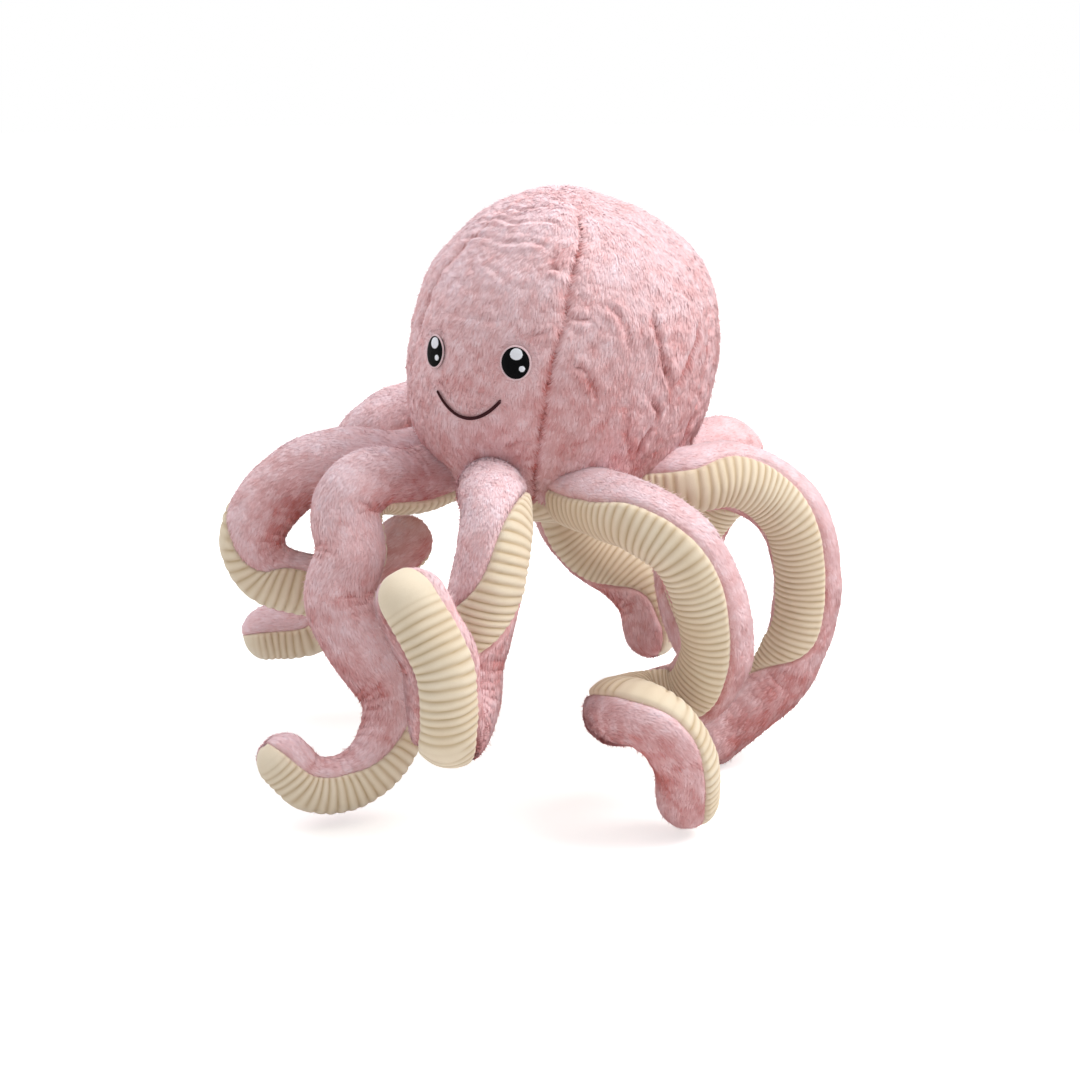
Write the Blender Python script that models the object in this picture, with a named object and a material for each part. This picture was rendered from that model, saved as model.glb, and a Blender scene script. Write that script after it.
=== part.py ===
# Plush octopus: a stuffed head of five fur gores on a ribbed under panel, and eight stuffed arms.
# Each arm is a fur top panel and a ribbed under panel round its stuffing, and turns at its sewn root.
# Lengths are in metres and angles in degrees. The face looks along -Y, and +Z is up.
# The origin is the middle of the flat underside.
import math

import bmesh
import bpy
from mathutils import Matrix, Vector

# Head
head_width = 0.292
head_height = 0.304
gore_count = 5
gore_valley = 0.004
gore_turn = 3
gore_lean = 30
face_turn = 3.6
lean_middle_share = 0.6
fur_thickness = 0.005
cord_thickness = 0.0035
sewing_gap = 0.0004
crown_hole = 0.0045

# Arms
arm_count = 8
arm_length = 0.5
arm_diameter = 0.067
tip_diameter = 0.057
root_clearance = 0.006
root_lift = 0.008
root_ring_share = 0.716
socket_gap = 0.0008
arm_lift = 20
arm_drop = 10
station_step = 0.050
station_bend = 38
path_samples = 12
arm_sides = 8
cord_sides = 3
arm_middle_share = 0.35
tip_taper_power = 1.5
socket_sides = 12
socket_reach_share = 0.22

# Eyes and smile
eye_width = 0.0265
eye_height = 0.0295
eye_spread = 0.092
eye_level = 0.164
eye_outline = 0.0014
patch_thickness = 0.0012
glint_thickness = 0.0008
big_glint_diameter = 0.011
small_glint_diameter = 0.0052
big_glint_side = 0.001
big_glint_up = 0.0075
small_glint_side = 0.0062
small_glint_up = 0.0045
smile_width = 0.070
smile_depth = 0.019
smile_level = 0.130
thread_diameter = 0.0028

# How finely the round forms are faceted
gore_columns = 5
face_columns = 10
eye_sides = 20
glint_sides = 12
smile_steps = 14
thread_sides = 6
patch_ring_share = 0.5
cap_angles = (35, 65)
smooth_angle = 50
height_halvings = 30
slope_step_share = 0.01

# Head outline from the middle of the underside to the crown:
# shares of half the head's width and of its height. The first two points are the flat seat.
outline_shares = (
    (0.0, 0.0),
    (0.41, 0.0),
    (0.56, 0.016),
    (0.66, 0.05),
    (0.72, 0.092),
    (0.785, 0.15),
    (0.86, 0.21),
    (0.955, 0.33),
    (1.0, 0.48),
    (0.985, 0.62),
    (0.90, 0.74),
    (0.80, 0.82),
    (0.63, 0.905),
    (0.45, 0.957),
    (0.24, 0.987),
)
seat_row = 1
panel_row = 4
face_half_rows = (7.5, 8.5)
valley_fade_rows = 3

# Each arm's name and the route of its middle line from its root, in shares of the arm's length,
# then the way its ribbed panel faces there. Both are given as out from the head, to the side and up.
arm_route_shares = (
    ("arm_front", (
        ((0.06, 0.05, 0.015), (-0.1, 0.6, -0.8)),
        ((0.115, 0.105, 0.005), (-0.2, 0.8, -0.5)),
        ((0.16, 0.14, -0.035), (-0.1, 1, -0.2)),
        ((0.19, 0.15, -0.10), (0.1, 1, 0)),
        ((0.205, 0.14, -0.17), (0.8, 0.6, 0)),
        ((0.22, 0.13, -0.245), (0.9, -0.4, 0)),
        ((0.243, 0.14, -0.312), (0.4, -0.9, -0.4)),
        ((0.30, 0.165, -0.342), (0.2, -0.5, -0.9)),
        ((0.357, 0.19, -0.312), (0.5, 0.3, -0.8)),
        ((0.38, 0.202, -0.245), (0.75, 0.7, 0)),
        ((0.385, 0.20, -0.19), (0.8, 0.6, 0)),
        ((0.39, 0.18, -0.14), (0.85, 0.55, 0.1)),
        ((0.39, 0.15, -0.10), (0.95, 0.35, 0.2)),
    )),
    ("arm_front_left", (
        ((0.07, 0.04, 0.00), (0.7, -0.1, -0.7)),
        ((0.14, 0.09, -0.01), (0.8, -0.2, -0.6)),
        ((0.18, 0.15, -0.05), (0.8, -0.4, -0.4)),
        ((0.18, 0.19, -0.11), (0.8, -0.5, 0)),
        ((0.17, 0.22, -0.19), (0.8, -0.7, 0)),
        ((0.15, 0.23, -0.27), (0.7, -0.7, 0)),
        ((0.11, 0.20, -0.35), (0.9, -0.4, 0.3)),
        ((0.09, 0.13, -0.38), (0.6, -0.1, 0.8)),
        ((0.11, 0.07, -0.38), (0.1, 0, 1)),
        ((0.16, 0.03, -0.365), (-0.3, 0, 1)),
        ((0.215, 0.035, -0.345), (-0.2, 0, 1)),
        ((0.255, 0.075, -0.34), (0.1, 0.1, 1)),
        ((0.265, 0.125, -0.37), (0.2, 0.6, 0.8)),
        ((0.25, 0.16, -0.435), (0.4, 0.9, 0.1)),
        ((0.22, 0.17, -0.51), (0.4, 0.9, 0)),
    )),
    ("arm_left", (
        ((0.06, 0.03, 0.01), (0.5, -0.8, -0.4)),
        ((0.10, 0.09, 0.01), (0.6, -0.8, -0.2)),
        ((0.14, 0.16, -0.03), (0.5, -0.9, -0.2)),
        ((0.18, 0.21, -0.10), (0.3, -1, -0.1)),
        ((0.19, 0.24, -0.21), (0.2, -1, 0)),
        ((0.18, 0.24, -0.32), (0.1, -1, 0)),
        ((0.15, 0.22, -0.41), (-0.9, -0.3, 0.4)),
        ((0.11, 0.17, -0.47), (-0.9, 0.4, 0.3)),
        ((0.07, 0.11, -0.52), (-0.8, 0.5, 0.3)),
    )),
    ("arm_back_left", (
        ((0.06, 0.03, 0.01), (0, 0, -1)),
        ((0.115, 0.08, 0.00), (0.2, -0.2, -0.9)),
        ((0.145, 0.14, -0.04), (0.4, -0.6, -0.6)),
        ((0.14, 0.19, -0.11), (0.4, -0.9, 0)),
        ((0.10, 0.22, -0.19), (-0.1, -1, 0)),
        ((0.07, 0.21, -0.28), (-0.1, -1, 0)),
        ((0.08, 0.18, -0.37), (0.1, -1, 0.2)),
        ((0.10, 0.14, -0.43), (0.2, -0.8, 0.5)),
        ((0.13, 0.08, -0.48), (0.3, -0.7, 0.7)),
    )),
    ("arm_back", (
        ((0.09, 0.06, 0.01), (0, 0, -1)),
        ((0.15, 0.13, -0.01), (-0.2, -0.2, -1)),
        ((0.165, 0.21, -0.065), (-0.6, -0.5, -0.6)),
        ((0.155, 0.265, -0.15), (-0.8, -0.6, 0)),
        ((0.15, 0.265, -0.235), (-0.8, -0.6, 0)),
        ((0.175, 0.22, -0.305), (-0.8, -0.5, -0.1)),
        ((0.20, 0.155, -0.35), (-0.5, -0.8, 0.2)),
        ((0.205, 0.10, -0.40), (0.2, -0.9, 0.3)),
        ((0.19, 0.07, -0.46), (0.6, -0.8, 0.2)),
    )),
    ("arm_back_right", (
        ((0.10, 0.03, 0.01), (0, 0, -1)),
        ((0.18, 0.12, 0.01), (0, 0, -1)),
        ((0.20, 0.23, 0.01), (0, 0, -1)),
        ((0.18, 0.32, -0.02), (-0.2, -0.3, -0.9)),
        ((0.15, 0.37, -0.08), (-0.7, -0.7, 0)),
        ((0.13, 0.39, -0.17), (-0.8, -0.6, 0)),
        ((0.10, 0.39, -0.25), (-0.8, -0.6, 0)),
        ((0.07, 0.42, -0.34), (-0.7, -0.6, -0.3)),
        ((0.05, 0.475, -0.395), (-0.8, -0.1, -0.6)),
        ((0.05, 0.555, -0.405), (-0.8, 0, -0.6)),
    )),
    ("arm_right", (
        ((0.06, 0.05, -0.01), (0, 0, -1)),
        ((0.09, 0.14, -0.01), (0, 0, -1)),
        ((0.14, 0.21, 0.01), (0.1, -0.2, -1)),
        ((0.19, 0.28, -0.01), (0.3, -0.4, -0.8)),
        ((0.23, 0.33, -0.07), (0.8, -0.6, 0)),
        ((0.25, 0.36, -0.15), (0.75, 0.6, -0.3)),
        ((0.23, 0.35, -0.21), (0.1, 1, -0.25)),
        ((0.18, 0.31, -0.24), (-0.6, 0.8, -0.2)),
        ((0.14, 0.24, -0.25), (-0.2, 0.2, -1)),
        ((0.11, 0.17, -0.23), (0.1, -0.6, -0.8)),
        ((0.09, 0.11, -0.19), (0, -0.9, -0.5)),
    )),
    ("arm_front_right", (
        ((0.07, 0.04, -0.01), (0, 0.1, -1)),
        ((0.14, 0.09, -0.01), (-0.1, -0.2, -1)),
        ((0.18, 0.12, -0.05), (-0.7, -0.6, -0.4)),
        ((0.20, 0.15, -0.12), (-0.6, -0.8, 0)),
        ((0.21, 0.16, -0.20), (-0.6, -0.8, 0)),
        ((0.18, 0.19, -0.28), (-0.6, -0.8, 0)),
        ((0.13, 0.22, -0.36), (-1, -0.3, 0)),
        ((0.13, 0.255, -0.42), (-0.9, 0.3, -0.3)),
        ((0.165, 0.285, -0.475), (-0.5, 0.8, -0.5)),
        ((0.22, 0.30, -0.505), (0.1, 1, -0.35)),
        ((0.28, 0.305, -0.50), (0.3, 1, -0.2)),
        ((0.325, 0.305, -0.455), (0.7, 0.8, 0.1)),
    )),
)

# Worked out from the sizes above
head_radius = head_width / 2
gore_half_angle = 180 / gore_count
root_ring_radius = head_radius * root_ring_share
root_radius = root_ring_radius * math.sin(math.pi / arm_count) - root_clearance
root_height = root_radius + root_lift
arm_radius = arm_diameter / 2
tip_radius = tip_diameter / 2
skin_rows = len(outline_shares)
seam_angle = math.pi * cord_sides / arm_sides
half_seam = sewing_gap / 2 / math.sin(seam_angle)
cap_room = 1 / math.cos(math.radians(cap_angles[0] / 2))

for old in list(bpy.data.objects):
    bpy.data.objects.remove(old)


def make_material(name, colour, roughness):
    material = bpy.data.materials.new(name)
    material.use_nodes = True
    shader = material.node_tree.nodes["Principled BSDF"]
    shader.inputs["Base Color"].default_value = (*colour, 1)
    shader.inputs["Roughness"].default_value = roughness
    shader.inputs["Metallic"].default_value = 0
    return material


pink_fur = make_material("pink_fur", (0.66, 0.36, 0.375), 0.95)
cream_cord = make_material("cream_cord", (0.74, 0.65, 0.50), 0.9)
white_fibre = make_material("white_fibre", (0.86, 0.86, 0.84), 1.0)
black_thread = make_material("black_thread", (0.01, 0.01, 0.012), 0.6)
pale_thread = make_material("pale_thread", (0.80, 0.70, 0.72), 0.7)
white_thread = make_material("white_thread", (0.85, 0.85, 0.88), 0.7)
maroon_thread = make_material("maroon_thread", (0.05, 0.008, 0.01), 0.7)


def add_piece(name, points, faces, material, parent=None):
    """One closed solid as its own object, faces turned outwards."""
    mesh = bpy.data.meshes.new(name)
    mesh.from_pydata(points, [], faces)
    work = bmesh.new()
    work.from_mesh(mesh)
    bmesh.ops.triangulate(work, faces=work.faces, quad_method="FIXED")
    bmesh.ops.recalc_face_normals(work, faces=work.faces)
    work.to_mesh(mesh)
    work.free()
    mesh.shade_smooth()
    mesh.set_sharp_from_angle(angle=math.radians(smooth_angle))
    piece = bpy.data.objects.new(name, mesh)
    bpy.context.scene.collection.objects.link(piece)
    piece.parent = parent
    if material:
        mesh.materials.append(material)
    return piece


def join_rows(rows, closed):
    """Points and faces of a skin over rows of points. A row of one point is a pole."""
    points = [point for row in rows for point in row]
    firsts = []
    for row in rows:
        firsts.append(firsts[-1] + last_size if firsts else 0)
        last_size = len(row)
    faces = []
    for row, next_row, first, next_first in zip(rows, rows[1:], firsts, firsts[1:]):
        width = max(len(row), len(next_row))
        for column in range(width if closed else width - 1):
            after = (column + 1) % width
            if len(row) == 1:
                faces.append((first, next_first + column, next_first + after))
            elif len(next_row) == 1:
                faces.append((first + column, next_first, first + after))
            else:
                faces.append((first + column, next_first + column, next_first + after, first + after))
    return points, faces, firsts


def solid_of_rings(name, rings, material, parent=None):
    """A solid whose rings run from pole to pole."""
    points, faces, _ = join_rows(rings, True)
    return add_piece(name, points, faces, material, parent)


def panel_between(name, outer, inner, material, parent=None):
    """A fabric panel: an outer and an inner skin of like rows, closed by walls along its edges."""
    outer_points, outer_faces, firsts = join_rows(outer, False)
    inner_points, inner_faces, _ = join_rows(inner, False)
    count = len(outer_points)
    faces = outer_faces + [(count + face[0], *(count + index for index in face[:0:-1])) for face in inner_faces]
    lasts = [first + len(row) - 1 for first, row in zip(firsts, outer)]
    edges = [firsts, lasts, range(firsts[0], lasts[0] + 1), range(firsts[-1], lasts[-1] + 1)]
    for edge in edges:
        for here, after in zip(edge, edge[1:]):
            faces.append((here, after, after + count, here + count))
    return add_piece(name, outer_points + inner_points, faces, material, parent)


def blend_point(points, place):
    """A point of the smooth curve through the given points; place counts them from 0."""
    index = min(int(place), len(points) - 2)
    share = place - index
    before = points[index - 1] if index else points[0] * 2 - points[1]
    here, after = points[index], points[index + 1]
    beyond = points[index + 2] if index + 2 < len(points) else after * 2 - here
    bend = 2 * before - 5 * here + 4 * after - beyond
    turn = 3 * (here - after) + beyond - before
    return (2 * here + (after - before) * share + bend * share**2 + turn * share**3) / 2


outline_points = [Vector((across * head_radius, up * head_height)) for across, up in outline_shares]
outline_points.append(Vector((crown_hole, head_height)))


def outline_at(place, depth):
    """Distance from the axis and height of the head's skin, at a depth below its surface."""
    point = blend_point(outline_points, place)
    if place <= seat_row:
        return Vector((point.x, depth))
    ahead = blend_point(outline_points, min(place + slope_step_share, skin_rows))
    behind = blend_point(outline_points, place - slope_step_share)
    along = (ahead - behind).normalized()
    return point + Vector((-along.y, along.x)) * depth


def gore_middle(place, gore):
    """Angle of a gore's middle line round the head, in degrees: the seams lean as they rise."""
    lean = gore_lean * (outline_at(place, 0).y / head_height - lean_middle_share)
    return gore * 2 * gore_half_angle + gore_turn + lean


def skin_point(place, gore, across, depth, side_gap=0):
    """A point of the head's skin: across runs from -1 to 1 over a gore."""
    spot = outline_at(place, depth)
    fade = min(max((place - panel_row) / valley_fade_rows, 0), 1)
    radius = spot.x - gore_valley * fade * across**4 * spot.x / head_radius
    half_angle = math.radians(gore_half_angle)
    if radius > 0:
        half_angle -= side_gap / 2 / radius
    angle = math.radians(gore_middle(place, gore)) + across * half_angle
    return Vector((radius * math.sin(angle), -radius * math.cos(angle), spot.y))


def across_columns(columns):
    """Places of a gore's columns of points from its one seam to the other."""
    return [2 * column / columns - 1 for column in range(columns + 1)]


def skin_ring(place, depth, drop=0):
    """A ring of the skin all round the head, seam to seam."""
    if place == 0:
        return [Vector((0, 0, depth))]
    down = Vector((0, 0, drop))
    return [skin_point(place, gore, across, depth) - down
            for gore in range(gore_count) for across in across_columns(gore_columns)[:-1]]


def make_head():
    gores = []
    for gore, name in enumerate(("gore_face", "gore_left", "gore_back_left", "gore_back_right", "gore_right")):
        places = list(range(panel_row, skin_rows + 1))
        columns = across_columns(gore_columns)
        if gore == 0:
            places = sorted([*places, *face_half_rows])
            columns = across_columns(face_columns)
        skins = [[[skin_point(place, gore, across, depth, sewing_gap) for across in columns] for place in places]
                 for depth in (0, fur_thickness)]
        gores.append(panel_between(name, *skins, pink_fur))
    outer = [skin_ring(place, 0, sewing_gap if place == panel_row else 0) for place in range(panel_row + 1)]
    inner = [skin_ring(place, cord_thickness, sewing_gap if place == panel_row else 0)
             for place in reversed(range(panel_row + 1))]
    under = solid_of_rings("under_panel", outer + inner, cream_cord)
    rings = [skin_ring(place, cord_thickness + sewing_gap) for place in range(panel_row)]
    rings += [skin_ring(place, fur_thickness + sewing_gap) for place in range(panel_row, skin_rows)]
    rings.append([Vector((0, 0, head_height - fur_thickness - sewing_gap))])
    stuffing = solid_of_rings("head_stuffing", rings, white_fibre)
    return gores + [under, stuffing]


def arm_lines(route):
    """Middle line of an arm from its root, with the ribbed panel's facing, closely sampled."""
    points = [Vector((0, 0, 0))]
    facings = []
    for (out, side, up), (face_out, face_side, face_up) in route:
        points.append(Vector((side, -out, up)) * arm_length)
        facings.append(Vector((face_side, -face_out, face_up)).normalized())
    facings.insert(0, facings[0])
    line = []
    for sample in range((len(points) - 1) * path_samples + 1):
        place = sample / path_samples
        line.append((blend_point(points, place), blend_point(facings, place)))
    return line


def arm_stations(route):
    """Places along an arm, closer together where it bends: middle, along, facing, aside and share."""
    line = arm_lines(route)
    along = []
    for index in range(len(line)):
        ahead = line[min(index + 1, len(line) - 1)][0]
        behind = line[max(index - 1, 0)][0]
        along.append((ahead - behind).normalized())
    weights = [0]
    lengths = [0]
    for index in range(1, len(line)):
        step = (line[index][0] - line[index - 1][0]).length
        bend = math.degrees(max(along[index].angle(along[index - 1]), line[index][1].angle(line[index - 1][1])))
        weights.append(weights[-1] + step / station_step + bend / station_bend)
        lengths.append(lengths[-1] + step)
    count = max(round(weights[-1]), 2)
    stations = []
    for number in range(count + 1):
        wanted = weights[-1] * number / count
        index = min(range(len(line)), key=lambda item: abs(weights[item] - wanted))
        forward = along[index]
        facing = line[index][1]
        facing = (facing - forward * facing.dot(forward)).normalized()
        aside = forward.cross(facing)
        stations.append((line[index][0], forward, facing, aside, lengths[index] / lengths[-1]))
    return stations


def radius_at(share):
    """Radius of an arm, skin included, at a share of its length."""
    if share < arm_middle_share:
        return root_radius + (arm_radius - root_radius) * share / arm_middle_share
    rest = (share - arm_middle_share) / (1 - arm_middle_share)
    return arm_radius + (tip_radius - arm_radius) * rest**tip_taper_power


def arm_ring(station, radius, sides, move=0, ahead=0):
    """Points round an arm, numbered by side from the middle of the ribbed panel."""
    middle, forward, facing, aside, _ = station
    centre = middle + forward * ahead + facing * move
    ring = []
    for side in sides:
        angle = 2 * math.pi * side / arm_sides - seam_angle
        ring.append(centre + (facing * math.cos(angle) + aside * math.sin(angle)) * radius)
    return ring


def tip_rings(station, radius, sides, move=0):
    """The rounded end of an arm."""
    rings = [arm_ring(station, radius * math.cos(math.radians(angle)), sides, move,
                      radius * math.sin(math.radians(angle))) for angle in cap_angles]
    middle, forward, facing, _, _ = station
    rings.append([middle + forward * radius + facing * move])
    return rings


def root_rings(station, radius):
    """The ball at the root of an arm, which turns in its socket in the head."""
    middle, forward, _, _, _ = station
    rings = [[middle - forward * radius]]
    for angle in reversed(cap_angles):
        rings.append(arm_ring(station, radius * math.cos(math.radians(angle)), range(arm_sides),
                              ahead=-radius * math.sin(math.radians(angle))))
    rings.append(arm_ring(station, radius, range(arm_sides)))
    return rings


def arm_rows(stations, depth, sides, move=0, start=0):
    """Rows of an arm's skin at a depth below its surface, from root to tip."""
    rows = [arm_ring(stations[0], radius_at(0) - depth, sides, move, start)]
    for station in stations[1:]:
        rows.append(arm_ring(station, radius_at(station[4]) - depth, sides, move))
    return rows + tip_rings(stations[-1], tip_radius - depth, sides, move)


def socket_ring(station, radius, ahead, lift, drop):
    """A ring of an arm's socket: its upper points turned up about the hinge and its lower ones down."""
    middle, forward, _, _, _ = station
    down = Vector((0, 0, -1))
    down = (down - forward * down.dot(forward)).normalized()
    aside = forward.cross(down)
    ring = []
    for side in range(socket_sides):
        angle = math.pi * (2 * side + 1) / socket_sides
        point = middle + forward * ahead + (down * math.cos(angle) + aside * math.sin(angle)) * radius
        turn = drop if math.cos(angle) > 0 else -lift
        ring.append(Matrix.Rotation(math.radians(turn), 3, "X") @ point)
    return ring


def arm_socket(stations):
    """Rings of the room that an arm's root needs in the head while it lifts and drops."""
    widen = 1 / math.cos(math.pi / socket_sides)
    root = stations[0]
    ball_radius = (root_radius + socket_gap) * widen * cap_room
    rings = [[root[0] - root[1] * (root_radius + sewing_gap)]]
    for angle in reversed(cap_angles):
        rings.append(socket_ring(root, ball_radius * math.cos(math.radians(angle)),
                                 -ball_radius * math.sin(math.radians(angle)), 0, 0))
    rings.append(socket_ring(root, ball_radius, 0, 0, 0))
    near = [station for station in stations[1:] if station[4] < socket_reach_share]
    for station in near:
        rings.append(socket_ring(station, (radius_at(station[4]) + socket_gap) * widen, 0, arm_lift, arm_drop))
    rings.append([near[-1][0] + near[-1][1] * arm_radius])
    return rings


def make_arm(name, number, route):
    angle = 2 * math.pi * number / arm_count
    hinge = bpy.data.objects.new(name + "_hinge", None)
    hinge.location = (root_ring_radius * math.sin(angle), -root_ring_radius * math.cos(angle), root_height)
    hinge.rotation_euler = (0, 0, angle)
    bpy.context.scene.collection.objects.link(hinge)
    stations = arm_stations(route)
    for panel, sides, move, material in (
        ("_fur", range(cord_sides, arm_sides + 1), -half_seam, pink_fur),
        ("_cord", range(cord_sides + 1), half_seam, cream_cord),
    ):
        outer = arm_rows(stations, 0, sides, move, sewing_gap)
        inner = arm_rows(stations, fur_thickness, sides, move, sewing_gap)
        panel_between(name + panel, outer, inner, material, hinge)
    core = root_rings(stations[0], root_radius)
    core += arm_rows(stations, fur_thickness + sewing_gap, range(arm_sides))
    solid_of_rings(name + "_stuffing", core, white_fibre, hinge)
    return [[hinge.matrix_basis @ point for point in ring] for ring in arm_socket(stations)]


def make_sockets(name, sockets):
    """A cutter that holds the room of every other arm root, so that no two in it meet."""
    points = []
    faces = []
    for rings in sockets:
        ring_points, ring_faces, _ = join_rows(rings, True)
        faces += [tuple(index + len(points) for index in face) for face in ring_faces]
        points += ring_points
    cutter = add_piece(name, points, faces, None)
    cutter.hide_render = True
    cutter.display_type = "WIRE"
    return cutter


def cut_by(piece, cutter):
    cut = piece.modifiers.new("arm roots", "BOOLEAN")
    cut.operation = "DIFFERENCE"
    cut.object = cutter
    cut.solver = "EXACT"


def place_of_height(height):
    """Row number at which the head's skin reaches a height."""
    low, high = panel_row, skin_rows
    for _ in range(height_halvings):
        middle = (low + high) / 2
        if blend_point(outline_points, middle).y < height:
            low = middle
        else:
            high = middle
    return low


def face_point(side, height, lift):
    """A point of the face: side along the skin from the face's middle, and height, lifted off the fur."""
    place = place_of_height(height)
    angle = face_turn + math.degrees(side / outline_at(place, 0).x)
    return skin_point(place, 0, (angle - gore_middle(place, 0)) / gore_half_angle, -lift)


def face_patch(name, centre, size, lift, thickness, sides, material, hole=0):
    """A flat sewn patch that follows the face: an ellipse, or a ring where it has a hole."""
    rows = []
    for level in (lift + thickness, lift):
        rings = []
        for share in ((hole, 1) if hole else (patch_ring_share, 1)):
            ring = []
            for side in range(sides):
                angle = 2 * math.pi * side / sides
                ring.append(face_point(centre[0] + size[0] / 2 * share * math.cos(angle),
                                       centre[1] + size[1] / 2 * share * math.sin(angle), level))
            rings.append(ring)
        if not hole:
            rings.insert(0, [face_point(centre[0], centre[1], level)])
        rows.append(rings)
    top, bottom = rows
    loop = top + bottom[::-1]
    if hole:
        points, faces, firsts = join_rows(loop, True)
        last = firsts[-1]
        faces += [(last + side, side, (side + 1) % sides, last + (side + 1) % sides) for side in range(sides)]
        return add_piece(name, points, faces, material)
    return solid_of_rings(name, loop, material)


def make_eye(name, side):
    centre = (side * eye_spread / 2, eye_level)
    outer_size = (eye_width, eye_height)
    black_size = (eye_width - 2 * eye_outline, eye_height - 2 * eye_outline)
    hole_share = (eye_width - 2 * eye_outline + 2 * sewing_gap) / eye_width
    face_patch(name + "_outline", centre, outer_size, sewing_gap, patch_thickness, eye_sides, pale_thread,
               hole_share)
    face_patch(name + "_black", centre, black_size, sewing_gap, patch_thickness, eye_sides, black_thread)
    on_top = patch_thickness + 2 * sewing_gap
    for glint, diameter, across, up in (
        ("_big_glint", big_glint_diameter, big_glint_side, big_glint_up),
        ("_small_glint", small_glint_diameter, small_glint_side, -small_glint_up),
    ):
        face_patch(name + glint, (centre[0] + across, centre[1] + up), (diameter, diameter), on_top,
                   glint_thickness, glint_sides, white_thread)


def make_smile():
    radius = thread_diameter / 2
    middles = []
    for step in range(smile_steps + 1):
        share = 2 * step / smile_steps - 1
        middles.append((share * smile_width / 2, smile_level - smile_depth * (1 - share**2)))
    rings = []
    for index, (side, height) in enumerate(middles):
        ahead = middles[min(index + 1, smile_steps)]
        behind = middles[max(index - 1, 0)]
        run = math.hypot(ahead[0] - behind[0], ahead[1] - behind[1])
        across = (-(ahead[1] - behind[1]) / run, (ahead[0] - behind[0]) / run)
        ring = []
        for corner in range(thread_sides):
            angle = 2 * math.pi * corner / thread_sides
            swing = radius * math.cos(angle)
            ring.append(face_point(side + across[0] * swing, height + across[1] * swing,
                                   sewing_gap + radius + radius * math.sin(angle)))
        rings.append(ring)
    start = face_point(middles[0][0] - radius, middles[0][1], sewing_gap + radius)
    end = face_point(middles[-1][0] + radius, middles[-1][1], sewing_gap + radius)
    solid_of_rings("smile", [[start], *rings, [end]], maroon_thread)


head_pieces = make_head()
sockets = [make_arm(name, number, route) for number, (name, route) in enumerate(arm_route_shares)]
for cutter in (make_sockets("even_sockets", sockets[::2]), make_sockets("odd_sockets", sockets[1::2])):
    for head_piece in head_pieces:
        cut_by(head_piece, cutter)
make_eye("eye_left", 1)
make_eye("eye_right", -1)
make_smile()
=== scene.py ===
import math

import bmesh
import bpy
import numpy as np
from mathutils import Euler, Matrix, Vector, noise
from mathutils.bvhtree import BVHTree


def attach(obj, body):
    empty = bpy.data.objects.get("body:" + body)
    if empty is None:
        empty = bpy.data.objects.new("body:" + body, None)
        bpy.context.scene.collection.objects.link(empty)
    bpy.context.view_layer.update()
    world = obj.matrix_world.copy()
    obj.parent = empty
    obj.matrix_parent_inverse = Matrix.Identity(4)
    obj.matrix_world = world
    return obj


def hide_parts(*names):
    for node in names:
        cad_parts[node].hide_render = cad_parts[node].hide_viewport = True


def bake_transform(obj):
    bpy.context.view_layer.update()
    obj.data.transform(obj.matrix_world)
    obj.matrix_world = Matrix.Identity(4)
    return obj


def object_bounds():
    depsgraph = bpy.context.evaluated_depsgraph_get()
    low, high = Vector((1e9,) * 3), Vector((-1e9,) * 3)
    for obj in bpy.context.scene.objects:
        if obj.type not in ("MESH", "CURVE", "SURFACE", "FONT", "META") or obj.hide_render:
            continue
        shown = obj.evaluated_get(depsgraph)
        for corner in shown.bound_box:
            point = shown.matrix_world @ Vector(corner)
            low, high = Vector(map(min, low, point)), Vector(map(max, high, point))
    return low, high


# Plush octopus: a pink fur head of five gores, a stitched face, and eight arms with ribbed cream undersides.
# Lengths are in metres and angles in degrees. The face looks along -Y.

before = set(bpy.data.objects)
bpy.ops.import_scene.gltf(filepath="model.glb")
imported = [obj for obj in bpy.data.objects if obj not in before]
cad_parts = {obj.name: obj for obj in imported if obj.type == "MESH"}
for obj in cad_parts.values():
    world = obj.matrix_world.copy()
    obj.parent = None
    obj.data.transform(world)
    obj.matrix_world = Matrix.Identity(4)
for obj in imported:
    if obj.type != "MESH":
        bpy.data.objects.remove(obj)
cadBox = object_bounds()
print("frame loaded")


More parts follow.
